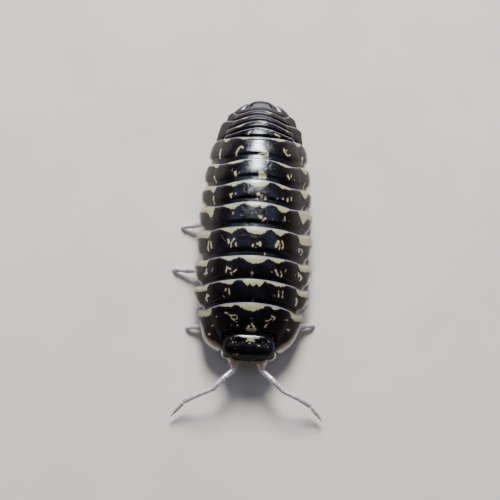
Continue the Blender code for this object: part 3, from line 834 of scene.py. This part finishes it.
def make_feelers(material):
    for side, joints in FEELERS.items():
        spots = [np.array(joint[:3]) for joint in joints]
        radii = [joint[3] for joint in joints]
        inwards = -0.03 if side == "right" else 0.03
        shapes = []
        for i in range(len(FEELER_BROWNS)):
            way = unit(spots[i + 1] - spots[i])
            start = spots[i] - way * radii[i] * 0.35
            end = spots[i + 1] + way * radii[i + 1] * 0.2
            girth = (1.1 * radii[i], 1.1 * radii[i + 1]) if i < 4 else LAST_ARTICLE_RADII
            bow = (0 if i else inwards, 0, FEELER_RISES[i])
            shapes.append(article(start, end, girth, bow, 26, 24, brown=FEELER_BROWNS[i]))
            for k in range(FEELER_BRISTLES):
                at = mix(spots[i], spots[i + 1], (k + 0.5) / FEELER_BRISTLES)
                turn = BRISTLE_TURN * k + i
                out = np.array([math.cos(turn) * 0.6, -0.5, math.sin(turn) * 0.6]) + way
                shapes.append(bristle(at + out * girth[1] * 0.5, out, 0.1, 0.008))
        build(f"feeler_{side}", shapes, material, [f"antenna_{side}"])
        shapes = whip_shapes(spots[-2], spots[-1])
        build(f"feeler_whip_{side}", shapes, material, [f"antenna_whip_{side}"])


def whip_shapes(root, tip):
    """The two thin articles at a feeler's end, with one stiff hair at the tip and short ones."""
    way = unit(tip - root)
    middle = mix(root, tip, WHIP_JOINT_SHARE)
    straight = (0, 0, 0)
    first = (root + way * 0.1, middle + way * 0.03, WHIP_RADII[:2], straight, 14, 20)
    last = (middle - way * 0.02, tip - way * 0.1, WHIP_RADII[1:], straight, 18, 20)
    shapes = [
        article(*first, brown=0.55),
        article(*last, tip=True, brown=0.6),
        bristle(tip - way * 0.14, way, 0.15, 0.03),
    ]
    for k in range(WHIP_BRISTLES):
        at = mix(root, tip, 0.12 + 0.085 * k)
        turn = BRISTLE_TURN * k
        out = np.array([math.cos(turn), math.sin(turn), 0.4]) * 0.5 + way
        shapes.append(bristle(at + out * 0.03, out, 0.09, 0.007))
    return shapes


def leg_joints(root_y, foot):
    """A leg comes down from the belly, bends outwards under the lobes and stands on its foot."""
    side = math.copysign(1, foot[0])
    reach = abs(foot[0])
    inner = min(0.5 * reach + 0.72, 2.75) * float(half_width(np.array(root_y))) / HALF_WIDTH
    low = 0.98 - 0.5 * max(0.0, min(reach - 3.4, 0.5))
    outer = mix(inner, reach, 0.62)
    spots = (
        (LEG_ROOT_X, root_y, BELLY_Z - 0.02),
        (LEG_ROOT_X + 0.12, root_y, BELLY_Z - 0.42),
        (inner, mix(root_y, foot[1], 0.45), low),
        (outer, mix(root_y, foot[1], 0.75), 0.42),
        (mix(outer, reach, 0.75), mix(root_y, foot[1], 0.93), 0.23),
        (reach, foot[1], 0.04),
    )
    return [np.array((side * x, y, z)) for x, y, z in spots]


def make_legs(material):
    for side, feet in FEET.items():
        for i, foot in enumerate(feet):
            spots = leg_joints(mix(LEG_FIRST_Y, LEG_LAST_Y, i / (len(feet) - 1)), foot)
            shapes = leg_shapes(spots)
            for points, *_ in shapes:
                points[:, 2] = np.maximum(points[:, 2], 0.0)
            name = f"leg_{side}_{i + 1}"
            build(f"jointed_{name}", shapes, material, [name])


def leg_shapes(spots):
    """The five articles of a leg, with bristles on all but the first."""
    shapes = []
    for k in range(5):
        length = np.linalg.norm(spots[k + 1] - spots[k])
        way = (spots[k + 1] - spots[k]) / length
        thick, thin = LEG_RADII[k] * 0.92, LEG_RADII[k + 1]
        start = spots[k] - way * LEG_RADII[k] * 0.3
        end = spots[k + 1] + way * thin * (0.2 if k < 4 else 0.0)
        bow = (0, 0, 0.05 * length if k in (1, 2) else 0)
        shapes.append(article(start, end, (thick, thin), bow, 14, 18, flat=0.86, tip=k == 4))
        for j in range(LEG_BRISTLES if k else 0):
            at = mix(spots[k], spots[k + 1], (j + 0.6) / LEG_BRISTLES)
            out = np.array([0.0, 0.5 * math.sin(2.1 * j), -0.8 if k < 3 else 0.1]) + way
            shapes.append(bristle(at + out * thin * 0.5, out, 0.12, 0.01))
    return shapes


# The head


def rounded_block(centre, half, squareness, around, up):
    """The points and faces of a form between a ball and a box."""
    power = lambda value, exponent: np.sign(value) * np.abs(value) ** exponent
    tilt = np.linspace(-math.pi / 2, math.pi / 2, up + 1)[1:-1, None]
    turn = np.arange(around)[None, :] * 2 * math.pi / around
    flat = power(np.cos(tilt), squareness[1])
    x = half[0] * flat * power(np.cos(turn), squareness[0])
    y = half[1] * flat * power(np.sin(turn), squareness[0])
    z = half[2] * power(np.sin(tilt), squareness[1]) + 0 * turn
    poles = [(0, 0, -half[2]), (0, 0, half[2])]
    points = np.concatenate([np.stack([x, y, z], -1).reshape(-1, 3), poles])
    return points + np.array(centre), ring_faces(up - 1, around)


def point_normals(points, faces):
    normals = np.zeros_like(points)
    quads = np.array([face if len(face) == 4 else [*face, face[-1]] for face in faces])
    corners = [points[quads[:, i]] for i in range(4)]
    facing = np.cross(corners[2] - corners[0], corners[3] - corners[1])
    for i in range(4):
        np.add.at(normals, quads[:, i], facing)
    normals /= np.linalg.norm(normals, axis=1, keepdims=True) + 1e-12
    centre = points.mean(0)
    outward = np.einsum("ij,ij->i", normals, points - centre).sum()
    return normals if outward > 0 else -normals


# Swellings of the head: place, how far each reaches in x, y and z, and its height
HEAD_SWELLS = (
    ((0.0, -8.47, 2.06), (0.95, 0.22, 0.12), 0.06),
    ((0.0, -8.48, 1.72), (0.42, 0.3, 0.22), 0.08),
    ((0.0, -8.48, 1.92), (1.3, 0.3, 0.05), -0.04),
)

# How far the rear of the head is rounded off, how weak its hind line is, which is a painted
# highlight along the top of the rear rim, and its bristles
HEAD_REAR_ROUNDING = 0.12
HEAD_REAR_SHEEN_LINE = 0.78
HEAD_BRISTLES = 15

# The dimple around an eye, and how the head is filled up towards the first plate
EYE_DIMPLE = 0.05
REAR_FILLING = 0.15

# The beads of an eye: how many lie in each ring, the angle between rings, and a bead's radius
EYE_RINGS = (1, 6, 11, 13)
RING_TILT = 0.34
BEAD_RADIUS = 0.036

# The mouthparts of one side: centre and half sizes; and the plate between them
MOUTHPARTS = (
    ((0.24, -7.72, 0.72), (0.22, 0.36, 0.1)),
    ((0.34, -8.0, 0.84), (0.13, 0.16, 0.09)),
    ((0.66, -7.62, 0.8), (0.14, 0.3, 0.12)),
)
MOUTH_PLATE = ((0.0, -7.6, 0.86), (0.7, 0.4, 0.12))

# The thin lobes above the feelers' roots: centre, half sizes and squareness of the left one
ANTENNAL_LOBE_CENTRE = (-1.04, -8.04, 1.54)
ANTENNAL_LOBE_HALF = (0.60, 0.35, 0.10)
ANTENNAL_LOBE_SQUARENESS = (0.72, 0.9)
LOBE_RIM = 0.07


def plain_values(count, **given):
    """The values that the shell's paint reads, for a surface that has no plate coordinates."""
    values = {name: np.full(count, -FAR) for name in ("marking", "faint", "band")}
    values |= {name: np.full(count, FAR) for name in ("hind", "edge")}
    values |= {name: np.zeros(count) for name in ("aside", "tone")}
    return values | given


def make_antennal_lobe(side):
    """A flat lobe with a tan rim in front of the eye, over the root of the feeler."""
    centre = np.array(ANTENNAL_LOBE_CENTRE) * (-side, 1, 1)
    points, faces = rounded_block(centre, ANTENNAL_LOBE_HALF, ANTENNAL_LOBE_SQUARENESS, 96, 24)
    away = (points - centre) / np.array(ANTENNAL_LOBE_HALF)
    power = 2 / ANTENNAL_LOBE_SQUARENESS[0]
    spread = (np.abs(away[:, 0]) ** power + np.abs(away[:, 1]) ** power) ** (1 / power)
    points[:, 2] -= 0.10 * np.clip(spread, 0, 1) ** 3
    edge = (1 - spread) * ANTENNAL_LOBE_HALF[1] / LOBE_RIM * 0.3
    return points, faces, plain_values(len(points), edge=edge, aside=np.full(len(points), 0.9))


def head_form():
    """The head with its swellings and eye dimples, filled up and rounded off at the rear."""
    points, faces = rounded_block(HEAD_CENTRE, HEAD_HALF, HEAD_SQUARENESS, 200, 110)
    lift = np.zeros(len(points))
    for place, spread, height in HEAD_SWELLS:
        away = (points - np.array(place)) / np.array(spread)
        lift += height * np.exp(-(away**2).sum(1))
    for side in (-1, 1):
        away = (points - np.array([side * EYE_CENTRE[0], *EYE_CENTRE[1:]])) / (EYE_RADIUS * 1.25)
        lift -= EYE_DIMPLE * np.exp(-((away**2).sum(1) ** 2))
    points = points + point_normals(points, faces) * lift[:, None]
    filling = smooth_step(0, 0.45, points[:, 1] - HEAD_CENTRE[1])
    filling = filling * smooth_step(1.9, 2.3, points[:, 2])
    points[:, 2] += REAR_FILLING * filling * smooth_step(1.6, 0.9, np.abs(points[:, 0]))
    start = HEAD_REAR_Y - HEAD_REAR_ROUNDING
    over = np.maximum(points[:, 1] - start, 0) / HEAD_REAR_ROUNDING
    points[:, 1] = np.where(over > 0, start + HEAD_REAR_ROUNDING * np.tanh(over), points[:, 1])
    return points, faces


def make_head(shell):
    points, faces = head_form()
    x, y, z = points.T
    seen = z > 2.0
    away = smooth_step(0.05, 0.12, HEAD_REAR_Y - y) + smooth_step(2.1, 1.8, z)
    values = plain_values(
        len(points),
        marking=np.where(seen, streak_distance(x, y, HEAD_STREAKS, 1.0), -1),
        faint=np.where(seen, streak_distance(x, y, HEAD_FAINT_STREAKS, 1.0), -1),
        aside=0.3 * np.abs(x) / HEAD_HALF[0],
        # The weak hind line along the top of the rear rim is a painted highlight
        hind=HEAD_REAR_SHEEN_LINE + FAR * away,
    )
    shapes = [(points, faces, values), make_antennal_lobe(-1), make_antennal_lobe(1)]
    for k in range(HEAD_BRISTLES):
        turn = (k / (HEAD_BRISTLES - 1) - 0.5) * 1.5
        root = (1.5 * math.sin(turn), HEAD_CENTRE[1] - 0.74 * math.cos(turn) ** 0.5, 1.98)
        hair, hair_faces, _ = bristle(root, (math.sin(turn) * 0.5, -1, 0.1), 0.09, 0.012)
        pale = plain_values(len(hair), faint=np.full(len(hair), 0.2))
        shapes.append((hair, hair_faces, pale))
    build("head_capsule", shapes, shell, ["head"])


def make_eyes(material):
    """Each eye is a ball with rings of small beads on its outer side."""
    for side, name in ((-1, "left"), (1, "right")):
        centre = np.array([side * (EYE_CENTRE[0] - 0.02), *EYE_CENTRE[1:]])
        beads = [(*rounded_block(centre, [EYE_RADIUS * 0.86] * 3, (1, 1), 24, 16), {})]
        for ring, count in enumerate(EYE_RINGS):
            tilt = RING_TILT * ring
            for k in range(count):
                turn = 2 * math.pi * k / count + 0.3 * ring
                around = (math.sin(tilt) * math.cos(turn), math.sin(tilt) * math.sin(turn))
                way = np.array([side * math.cos(tilt), *around])
                spot = centre + way * EYE_RADIUS * 0.82
                beads.append((*rounded_block(spot, [BEAD_RADIUS] * 3, (1, 1), 12, 8), {}))
        build(f"ocelli_{name}", beads, material, [f"eye_{name}"])


def make_mouthparts(material):
    shapes = []
    for side in (-1, 1):
        for (x, y, z), half in MOUTHPARTS:
            points, faces = rounded_block((side * x, y, z), half, (0.8, 0.9), 40, 20)
            shapes.append((points, faces, {"joint": 0.3 * bell(points[:, 1], y - half[1], 0.1)}))
    points, faces = rounded_block(*MOUTH_PLATE, (0.8, 0.9), 48, 20)
    shapes.append((points, faces, {"joint": np.full(len(points), 0.2)}))
    build("maxillipeds", shapes, material, ["mouthparts"])


# The soft underside

# The skin: its reach along the body, how far inside the vault it lies, where the neck turns dark,
# and its mesh: rows, and points above and below
SKIN_Y = (-7.2, 7.78)
SKIN_OFFSET = 0.42
NECK_Y = (-6.9, -7.1)
SKIN_ROWS = 260
SKIN_ARCH_POINTS = 28
SKIN_BELLY_POINTS = 44

# Its belly: where the tail section begins, its height and the spacing of its folds there, its half
# width, how deep the folds are, and how far it swells down where the legs grow from it
TAIL_START_Y = (4.9, 5.3)
TAIL_BELLY_Z = 1.45
TAIL_FOLD_Y = 5.2
TAIL_FOLD_STEP = 0.5
BELLY_HALF_WIDTH = 1.9
FOLD_DEPTH = 0.07
HIP_SWELL = 0.06

# The gill flaps: how many at each side, the first one's place and half sizes, and their spacing
GILL_FLAPS = 5
GILL_CENTRE = (0.66, 5.5, 1.2)
GILL_HALF = (0.56, 0.42, 0.075)
GILL_STEP = 0.5


def make_skin(material):
    """One skin inside all the plates: arched above, with a fold between the segments below."""
    y = np.linspace(*SKIN_Y, SKIN_ROWS)[:, None]
    tail = smooth_step(*TAIL_START_Y, y)
    share = np.linspace(-1, 1, SKIN_ARCH_POINTS)
    top = vault_offset(y + 0 * share, mix(0.56, 0.5, tail) * share, 0 * y * share - SKIN_OFFSET)
    closing = 1 - smooth_step(0, 0.45, y - SKIN_Y[0]) * smooth_step(0, 0.35, SKIN_Y[1] - y)
    leg_step = (LEG_LAST_Y - LEG_FIRST_Y) / 6
    leg_phase, tail_phase = (y - LEG_FIRST_Y) / leg_step, (y - TAIL_FOLD_Y) / TAIL_FOLD_STEP
    crest = np.abs(np.cos(math.pi * np.where(tail > 0.5, tail_phase, leg_phase)))
    fold = crest**0.5
    low = mix(BELLY_Z, TAIL_BELLY_Z, tail) - FOLD_DEPTH * fold + 0.3 * np.clip(closing, 0, 1)
    wide = BELLY_HALF_WIDTH * np.minimum(1, half_width(y) / HALF_WIDTH * 1.05)
    across = np.linspace(1, -1, SKIN_BELLY_POINTS)
    x = np.minimum(wide, top[:, -1:, 0] - 0.03) * across
    z = low + 0.12 * np.abs(across) ** 6 - 0.02 * np.cos(6 * across) * fold
    z = z - HIP_SWELL * bell(np.abs(x), LEG_ROOT_X, 0.26) * crest**4 * (1 - tail)
    rings = np.concatenate([top, np.stack([x, y + 0 * x, z], -1)], 1)
    sides = rings.shape[1]
    points = np.concatenate([rings.reshape(-1, 3), rings[[0, -1]].mean(1)])
    crease = np.concatenate([np.repeat(1 - fold, sides) * 0.8, [0, 0]])
    neck = smooth_step(*NECK_Y, points[:, 1])
    values = {"joint": np.maximum(crease, neck), "neck": neck}
    shape = (points, ring_faces(SKIN_ROWS, sides), values)
    build("skin", [shape], material, ["underside", "tail_underside"])


def make_gill_flaps(material):
    """Overlapping flaps at each side below the tail section, smaller towards the rear."""
    for side, name in ((-1, "left"), (1, "right")):
        shapes = []
        for k in range(GILL_FLAPS):
            narrow = 1 - 0.09 * k
            x, y = side * GILL_CENTRE[0] * narrow, GILL_CENTRE[1] + GILL_STEP * k
            half = (GILL_HALF[0] * narrow, *GILL_HALF[1:])
            points, faces = rounded_block((x, y, GILL_CENTRE[2]), half, (0.7, 1.0), 56, 16)
            away = points[:, 1] - y
            points[:, 2] += 0.12 * ((points[:, 0] - x) / GILL_HALF[0]) ** 2 - 0.28 * away
            pale = bell(away, -0.1, 0.3) * (1.0 if k < 2 else 0.2)
            shapes.append((points, faces, {"joint": 0.5 - 0.5 * pale}))
        build(f"pleopods_{name}", shapes, material, [f"gill_flaps_{name}"])


# Materials


class Paint:
    """A Principled material whose inputs are wired by short calls."""

    def __init__(self, name):
        self.material = bpy.data.materials.new(name)
        self.material.use_nodes = True
        self.tree = self.material.node_tree
        self.shader = self.tree.nodes["Principled BSDF"]

    def put(self, socket, value):
        if isinstance(value, bpy.types.NodeSocket):
            self.tree.links.new(value, socket)
        elif isinstance(value, tuple) and len(value) == 3 and socket.type == "RGBA":
            socket.default_value = (*value, 1.0)
        else:
            socket.default_value = value

    def node(self, kind, out, inputs, **settings):
        node = self.tree.nodes.new(kind)
        for key, value in settings.items():
            setattr(node, key, value)
        for key, value in inputs.items():
            self.put(node.inputs[key], value)
        return node.outputs[out]

    def value(self, name):
        return self.node("ShaderNodeAttribute", "Fac", {}, attribute_name=name)

    def noise(self, scale, detail=4.0, roughness=0.55, stretch=(1, 1, 1)):
        place = self.node("ShaderNodeTexCoord", "Object", {})
        place = self.node("ShaderNodeMapping", "Vector", {"Vector": place, "Scale": stretch})
        inputs = {"Vector": place, "Scale": scale, "Detail": detail, "Roughness": roughness}
        return self.node("ShaderNodeTexNoise", "Fac", inputs)

    def cells(self, scale):
        place = self.node("ShaderNodeTexCoord", "Object", {})
        return self.node("ShaderNodeTexVoronoi", "Distance", {"Vector": place, "Scale": scale})

    def math(self, operation, a, b):
        return self.node("ShaderNodeMath", 0, {0: a, 1: b}, operation=operation)

    def times(self, a, b):
        return self.math("MULTIPLY", a, b)

    def plus(self, a, b):
        return self.math("ADD", a, b)

    def larger(self, a, b):
        return self.math("MAXIMUM", a, b)

    def frayed(self, value, *waves):
        """A value with noises added to it, each by its own share."""
        for noise, share in waves:
            value = self.plus(value, self.times(self.math("SUBTRACT", noise, 0.5), share))
        return value

    def ramp(self, value, low, high, to_low=0.0, to_high=1.0):
        names = ("Value", "From Min", "From Max", "To Min", "To Max")
        inputs = dict(zip(names, (value, low, high, to_low, to_high)))
        return self.node("ShaderNodeMapRange", 0, inputs, interpolation_type="SMOOTHSTEP")

    def blend(self, share, a, b):
        node = self.tree.nodes.new("ShaderNodeMix")
        node.data_type = "RGBA"
        # Inputs 6 and 7 and output 2 are the node's colours
        self.put(node.inputs[0], share)
        self.put(node.inputs[6], a)
        self.put(node.inputs[7], b)
        return node.outputs[2]

    def bump(self, height, distance, strength=1.0, under=None):
        inputs = {"Height": height, "Distance": distance, "Strength": strength}
        if under is not None:
            inputs["Normal"] = under
        return self.node("ShaderNodeBump", "Normal", inputs)

    def finish(self, **inputs):
        for key, value in inputs.items():
            self.put(self.shader.inputs[key.replace("_", " ")], value)
        return self.material


# The colours of the shell, and below them those of the limbs, the skin, the eyes and the floor; a
# noise blends between the two colours of a pair
BLACK = (0.0026, 0.002, 0.0022)
BLACK_BLUE = (0.0055, 0.006, 0.011)
BLACK_BROWN = (0.0085, 0.0038, 0.0032)
MAROON = (0.021, 0.0085, 0.012)
LOBE_DARK = (0.0095, 0.0058, 0.005)
LOBE_GREY = (0.022, 0.0145, 0.0125)
TAIL_BROWN = (0.02, 0.0115, 0.0105)
TAN = (0.38, 0.29, 0.22)
# The palest rim tan is partly a painted highlight along the rims' outer edge
TAN_PALE_AND_GLINT = (0.84, 0.78, 0.75)
CREAM = (0.33, 0.325, 0.155)
CREAM_PALE = (0.48, 0.475, 0.29)
CREAM_ASIDE = (0.43, 0.365, 0.25)
CREAM_FAINT = (0.4, 0.4, 0.36)
# The bluish hind line is a pale edge whose tint is partly a painted reflection
HIND_LINE_AND_SHEEN = (0.25, 0.27, 0.38)
LINE_ASIDE = (0.24, 0.2, 0.18)
# Painted shade at the very edge and underside of each hind lip
LIP_SHADE_BELOW_LINE = (0.05, 0.052, 0.07)
LIMB_LILAC = ((0.43, 0.38, 0.41), (0.74, 0.7, 0.76))
LIMB_TAN = ((0.5, 0.36, 0.27), (0.8, 0.62, 0.48))
LIMB_JOINT = (0.14, 0.085, 0.07)
SKIN_PALE = ((0.4, 0.36, 0.32), (0.55, 0.52, 0.48))
SKIN_CREASE = (0.2, 0.16, 0.13)
NECK_DARK = (0.035, 0.024, 0.02)
EYE_BLACK = ((0.003, 0.003, 0.004), (0.012, 0.01, 0.012))
FLOOR_PALE = ((0.58, 0.52, 0.455), (0.63, 0.57, 0.5))


def shell_paint(name, lobe_from, lobe_to, rim_width, rough, shine):
    """Glossy black shell: grey-brown lobes, tan rims, cream borders and spots, and hind lines."""
    paint = Paint(name)
    names = ("marking", "faint", "band", "hind", "edge", "aside", "tone")
    marking, faint, band, hind, edge, aside, tone = (paint.value(label) for label in names)
    blotch = paint.noise(900, 4)
    cloud = paint.noise(3600, 3)
    fine = paint.noise(9000, 5, 0.6)
    grain = paint.noise(26000, 3, 0.6)
    streaky = paint.noise(5200, 5, 0.65, (1.6, 0.5, 1.6))

    # The black back, browner in places and towards the tail, and the lobes
    black = paint.blend(paint.ramp(blotch, 0.4, 0.65), BLACK, BLACK_BLUE)
    brown_part = paint.times(paint.ramp(cloud, 0.36, 0.6), paint.ramp(aside, 0.2, 0.5))
    black = paint.blend(brown_part, black, BLACK_BROWN)
    black = paint.blend(paint.ramp(tone, 1.05, 1.35, 0.0, 0.75), black, TAIL_BROWN)
    lobe_colour = paint.blend(paint.times(tone, 0.9), LOBE_DARK, LOBE_GREY)
    mottle = paint.ramp(streaky, 0.36, 0.68, 0.0, 0.3)
    lobe_colour = paint.blend(mottle, lobe_colour, LOBE_GREY)
    lobe = paint.ramp(paint.frayed(aside, (fine, 0.1)), lobe_from, lobe_to)
    colour = paint.blend(lobe, black, lobe_colour)

    # The tan rims at the sides, palest at the outer edge, where the pallor is partly a painted
    # highlight
    rim_edge = paint.frayed(edge, (streaky, 0.16))
    rim = paint.ramp(rim_edge, rim_width, rim_width * 0.5)
    rim = paint.times(rim, paint.ramp(aside, lobe_from, lobe_to))
    tan = paint.blend(paint.ramp(rim_edge, 0.07, 0.2), TAN_PALE_AND_GLINT, TAN)
    colour = paint.blend(rim, colour, tan)

    # The cream spots and borders with a maroon fringe, and the weaker spots
    spot_edge = paint.frayed(marking, (cloud, 0.05), (fine, 0.16), (grain, 0.07))
    band_edge = paint.frayed(band, (cloud, 0.16), (fine, 0.24), (grain, 0.08))
    weak_edge = paint.frayed(faint, (cloud, 0.03), (fine, 0.14), (grain, 0.07))
    spot = paint.ramp(spot_edge, -0.004, 0.022)
    light = paint.larger(spot, paint.ramp(band_edge, -0.016, 0.02))
    weak = paint.ramp(weak_edge, -0.015, 0.03, 0.0, 0.4)
    cream = paint.blend(paint.ramp(grain, 0.35, 0.62), CREAM, CREAM_PALE)
    cream = paint.blend(paint.ramp(aside, 0.6, 0.85, 0.0, 0.85), cream, CREAM_ASIDE)
    nearest = paint.larger(paint.frayed(band, (cloud, 0.2), (fine, 0.2)), marking)
    colour = paint.blend(paint.ramp(nearest, -0.17, -0.02, 0.0, 0.8), colour, MAROON)
    colour = paint.blend(weak, colour, CREAM_FAINT)
    colour = paint.blend(light, colour, cream)

    # The line along the hind edge, a pale edge whose bluish tint is partly a painted reflection
    line = paint.ramp(paint.frayed(hind, (fine, 0.4)), 1.0, 0.55)
    line_and_sheen_colour = paint.blend(paint.ramp(aside, 0.5, 0.75), HIND_LINE_AND_SHEEN, LINE_ASIDE)
    # Painted shade at the very edge of the lip, below the line
    line_and_sheen_colour = paint.blend(paint.ramp(hind, 0.25, 0.05), line_and_sheen_colour, LIP_SHADE_BELOW_LINE)
    colour = paint.blend(paint.times(line, 0.9), colour, line_and_sheen_colour)

    # The gloss, duller on markings and lobes, and the fine pits and wrinkles
    gloss = paint.ramp(fine, 0.3, 0.7, rough, rough + 0.08)
    gloss = paint.plus(gloss, paint.times(paint.larger(light, line), 0.1))
    gloss = paint.plus(gloss, paint.times(lobe, 0.14))
    dull = paint.larger(lobe, paint.ramp(tone, 1.36, 1.4))
    gloss = paint.plus(gloss, paint.times(dull, paint.ramp(tone, 1.0, 1.4, 0.0, 0.35)))
    pits = paint.ramp(paint.cells(13000), 0.0, 0.45)
    normal = paint.bump(pits, 0.000008, 0.8)
    normal = paint.bump(fine, 0.000016, 0.6, normal)
    normal = paint.bump(streaky, 0.000012, paint.times(lobe, 0.5), normal)
    return paint.finish(
        Base_Color=colour, Roughness=gloss, Normal=normal, IOR=1.5, Specular_IOR_Level=shine
    )


def limb_paint():
    """Pale lilac-white cuticle, darker and browner at the joints and along the shaded furrows."""
    paint = Paint("pale limb")
    joint, brown = paint.value("joint"), paint.value("brown")
    streaky = paint.noise(4200, 4, 0.6)
    fine = paint.noise(14000, 4)
    mottle = paint.ramp(streaky, 0.35, 0.7)
    colour = paint.blend(brown, paint.blend(mottle, *LIMB_LILAC), paint.blend(mottle, *LIMB_TAN))
    colour = paint.blend(paint.times(joint, 0.75), colour, LIMB_JOINT)
    gloss = paint.ramp(fine, 0.3, 0.7, 0.16, 0.3)
    normal = paint.bump(fine, 0.000012, 0.7)
    waxy = {"Subsurface_Weight": 0.25, "Subsurface_Scale": 0.00015}
    return paint.finish(Base_Color=colour, Roughness=gloss, Normal=normal, IOR=1.5, **waxy)


def skin_paint():
    paint = Paint("underside skin")
    cloud = paint.noise(1500, 4)
    fine = paint.noise(12000, 5)
    colour = paint.blend(paint.ramp(cloud, 0.35, 0.7), *SKIN_PALE)
    colour = paint.blend(paint.times(paint.value("joint"), 0.8), colour, SKIN_CREASE)
    colour = paint.blend(paint.value("neck"), colour, NECK_DARK)
    gloss = paint.ramp(fine, 0.3, 0.7, 0.38, 0.5)
    normal = paint.bump(fine, 0.00001, 0.5)
    waxy = {"Subsurface_Weight": 0.2, "Subsurface_Scale": 0.0002}
    return paint.finish(Base_Color=colour, Roughness=gloss, Normal=normal, **waxy)


def eye_paint():
    paint = Paint("eye beads")
    fine = paint.noise(9000, 3)
    colour = paint.blend(paint.ramp(fine, 0.35, 0.7), *EYE_BLACK)
    gloss = paint.ramp(fine, 0.3, 0.7, 0.06, 0.14)
    return paint.finish(Base_Color=colour, Roughness=gloss, IOR=1.5)


# Floor, light and camera


# How far the floor reaches from its middle, in metres
FLOOR_REACH = 0.6

# The soft lights: name, azimuth (0 is over the tail) and elevation in degrees, distance and size
# in metres, power, colour, and whether it shows only in reflections
SOFTBOXES = (
    ("key softbox", 0, 43, 0.25, 0.11, 1.2, (1.0, 0.98, 0.95), False),
    ("gloss softbox", -3, 40.5, 0.25, 0.08, 4.9, (0.82, 0.89, 1.0), True),
    ("low gloss softbox", -1, 31, 0.25, 0.035, 3.6, (0.85, 0.91, 1.0), True),
    ("left softbox", -62, 40, 0.4, 0.17, 0.3, (0.5, 0.64, 1.0), False),
    ("right softbox", 60, 46, 0.4, 0.15, 0.22, (0.5, 0.64, 1.0), False),
)
ROOM_COLOUR = (0.74, 0.78, 0.86, 1.0)
ROOM_STRENGTH = 0.16


def place(point):
    """A point of the body's frame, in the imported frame."""
    return Vector(point) * MM + Vector(SHIFT * MM)


def direction(turn, rise):
    """The direction of an azimuth, which is 0 along +Y, and an elevation."""
    flat = math.cos(rise)
    return Vector((math.sin(turn) * flat, math.cos(turn) * flat, math.sin(rise)))


def make_floor():
    mesh = bpy.data.meshes.new("floor")
    signs = ((-1, -1), (1, -1), (1, 1), (-1, 1))
    corners = [(x * FLOOR_REACH, y * FLOOR_REACH, 0) for x, y in signs]
    mesh.from_pydata(corners, [], [(0, 1, 2, 3)])
    floor = add_object("floor", mesh)
    paint = Paint("pale floor")
    colour = paint.blend(paint.ramp(paint.noise(160, 5), 0.3, 0.7), *FLOOR_PALE)
    mesh.materials.append(paint.finish(Base_Color=colour, Roughness=0.8))


def add_softbox(name, azimuth, elevation, distance, size, power, colour, gloss_only):
    """A round soft light that looks at the middle of the body."""
    light = bpy.data.lights.new(name, "AREA")
    light.shape = "DISK"
    light.size = size
    light.energy = power
    light.color = colour
    lamp = add_object(name, light)
    lamp.visible_diffuse = not gloss_only
    way = direction(math.radians(azimuth), math.radians(elevation))
    lamp.location = place((0, 0, 2)) + way * distance
    lamp.rotation_euler = (-way).to_track_quat("-Z", "Y").to_euler()


def make_lights():
    for softbox in SOFTBOXES:
        add_softbox(*softbox)
    world = bpy.data.worlds.new("studio")
    world.use_nodes = True
    background = world.node_tree.nodes["Background"]
    background.inputs["Color"].default_value = ROOM_COLOUR
    background.inputs["Strength"].default_value = ROOM_STRENGTH
    bpy.context.scene.world = world


def make_camera():
    data = bpy.data.cameras.new("camera")
    data.lens = CAMERA_LENS
    data.sensor_width = 36
    data.clip_start = 0.01
    data.clip_end = 5
    camera = add_object("camera", data)
    way = direction(-CAMERA_TURN, -CAMERA_TILT)
    camera.location = place(CAMERA_TARGET) - way * CAMERA_DISTANCE * MM
    camera.rotation_euler = way.to_track_quat("-Z", "Y").to_euler()
    bpy.context.scene.camera = camera


def main():
    shell = shell_paint("black shell", 0.58, 0.72, 0.42, 0.13, 0.14)
    tail_shell = shell_paint("tail shell", 0.42, 0.62, 0.08, 0.14, 0.085)
    limb, flesh, eye = limb_paint(), skin_paint(), eye_paint()
    rear, s = make_thorax(shell)
    make_tail(rear, s, tail_shell)
    make_head(shell)
    make_eyes(eye)
    make_mouthparts(flesh)
    make_feelers(limb)
    make_legs(limb)
    make_skin(flesh)
    make_gill_flaps(flesh)
    make_floor()
    make_lights()
    make_camera()


main()
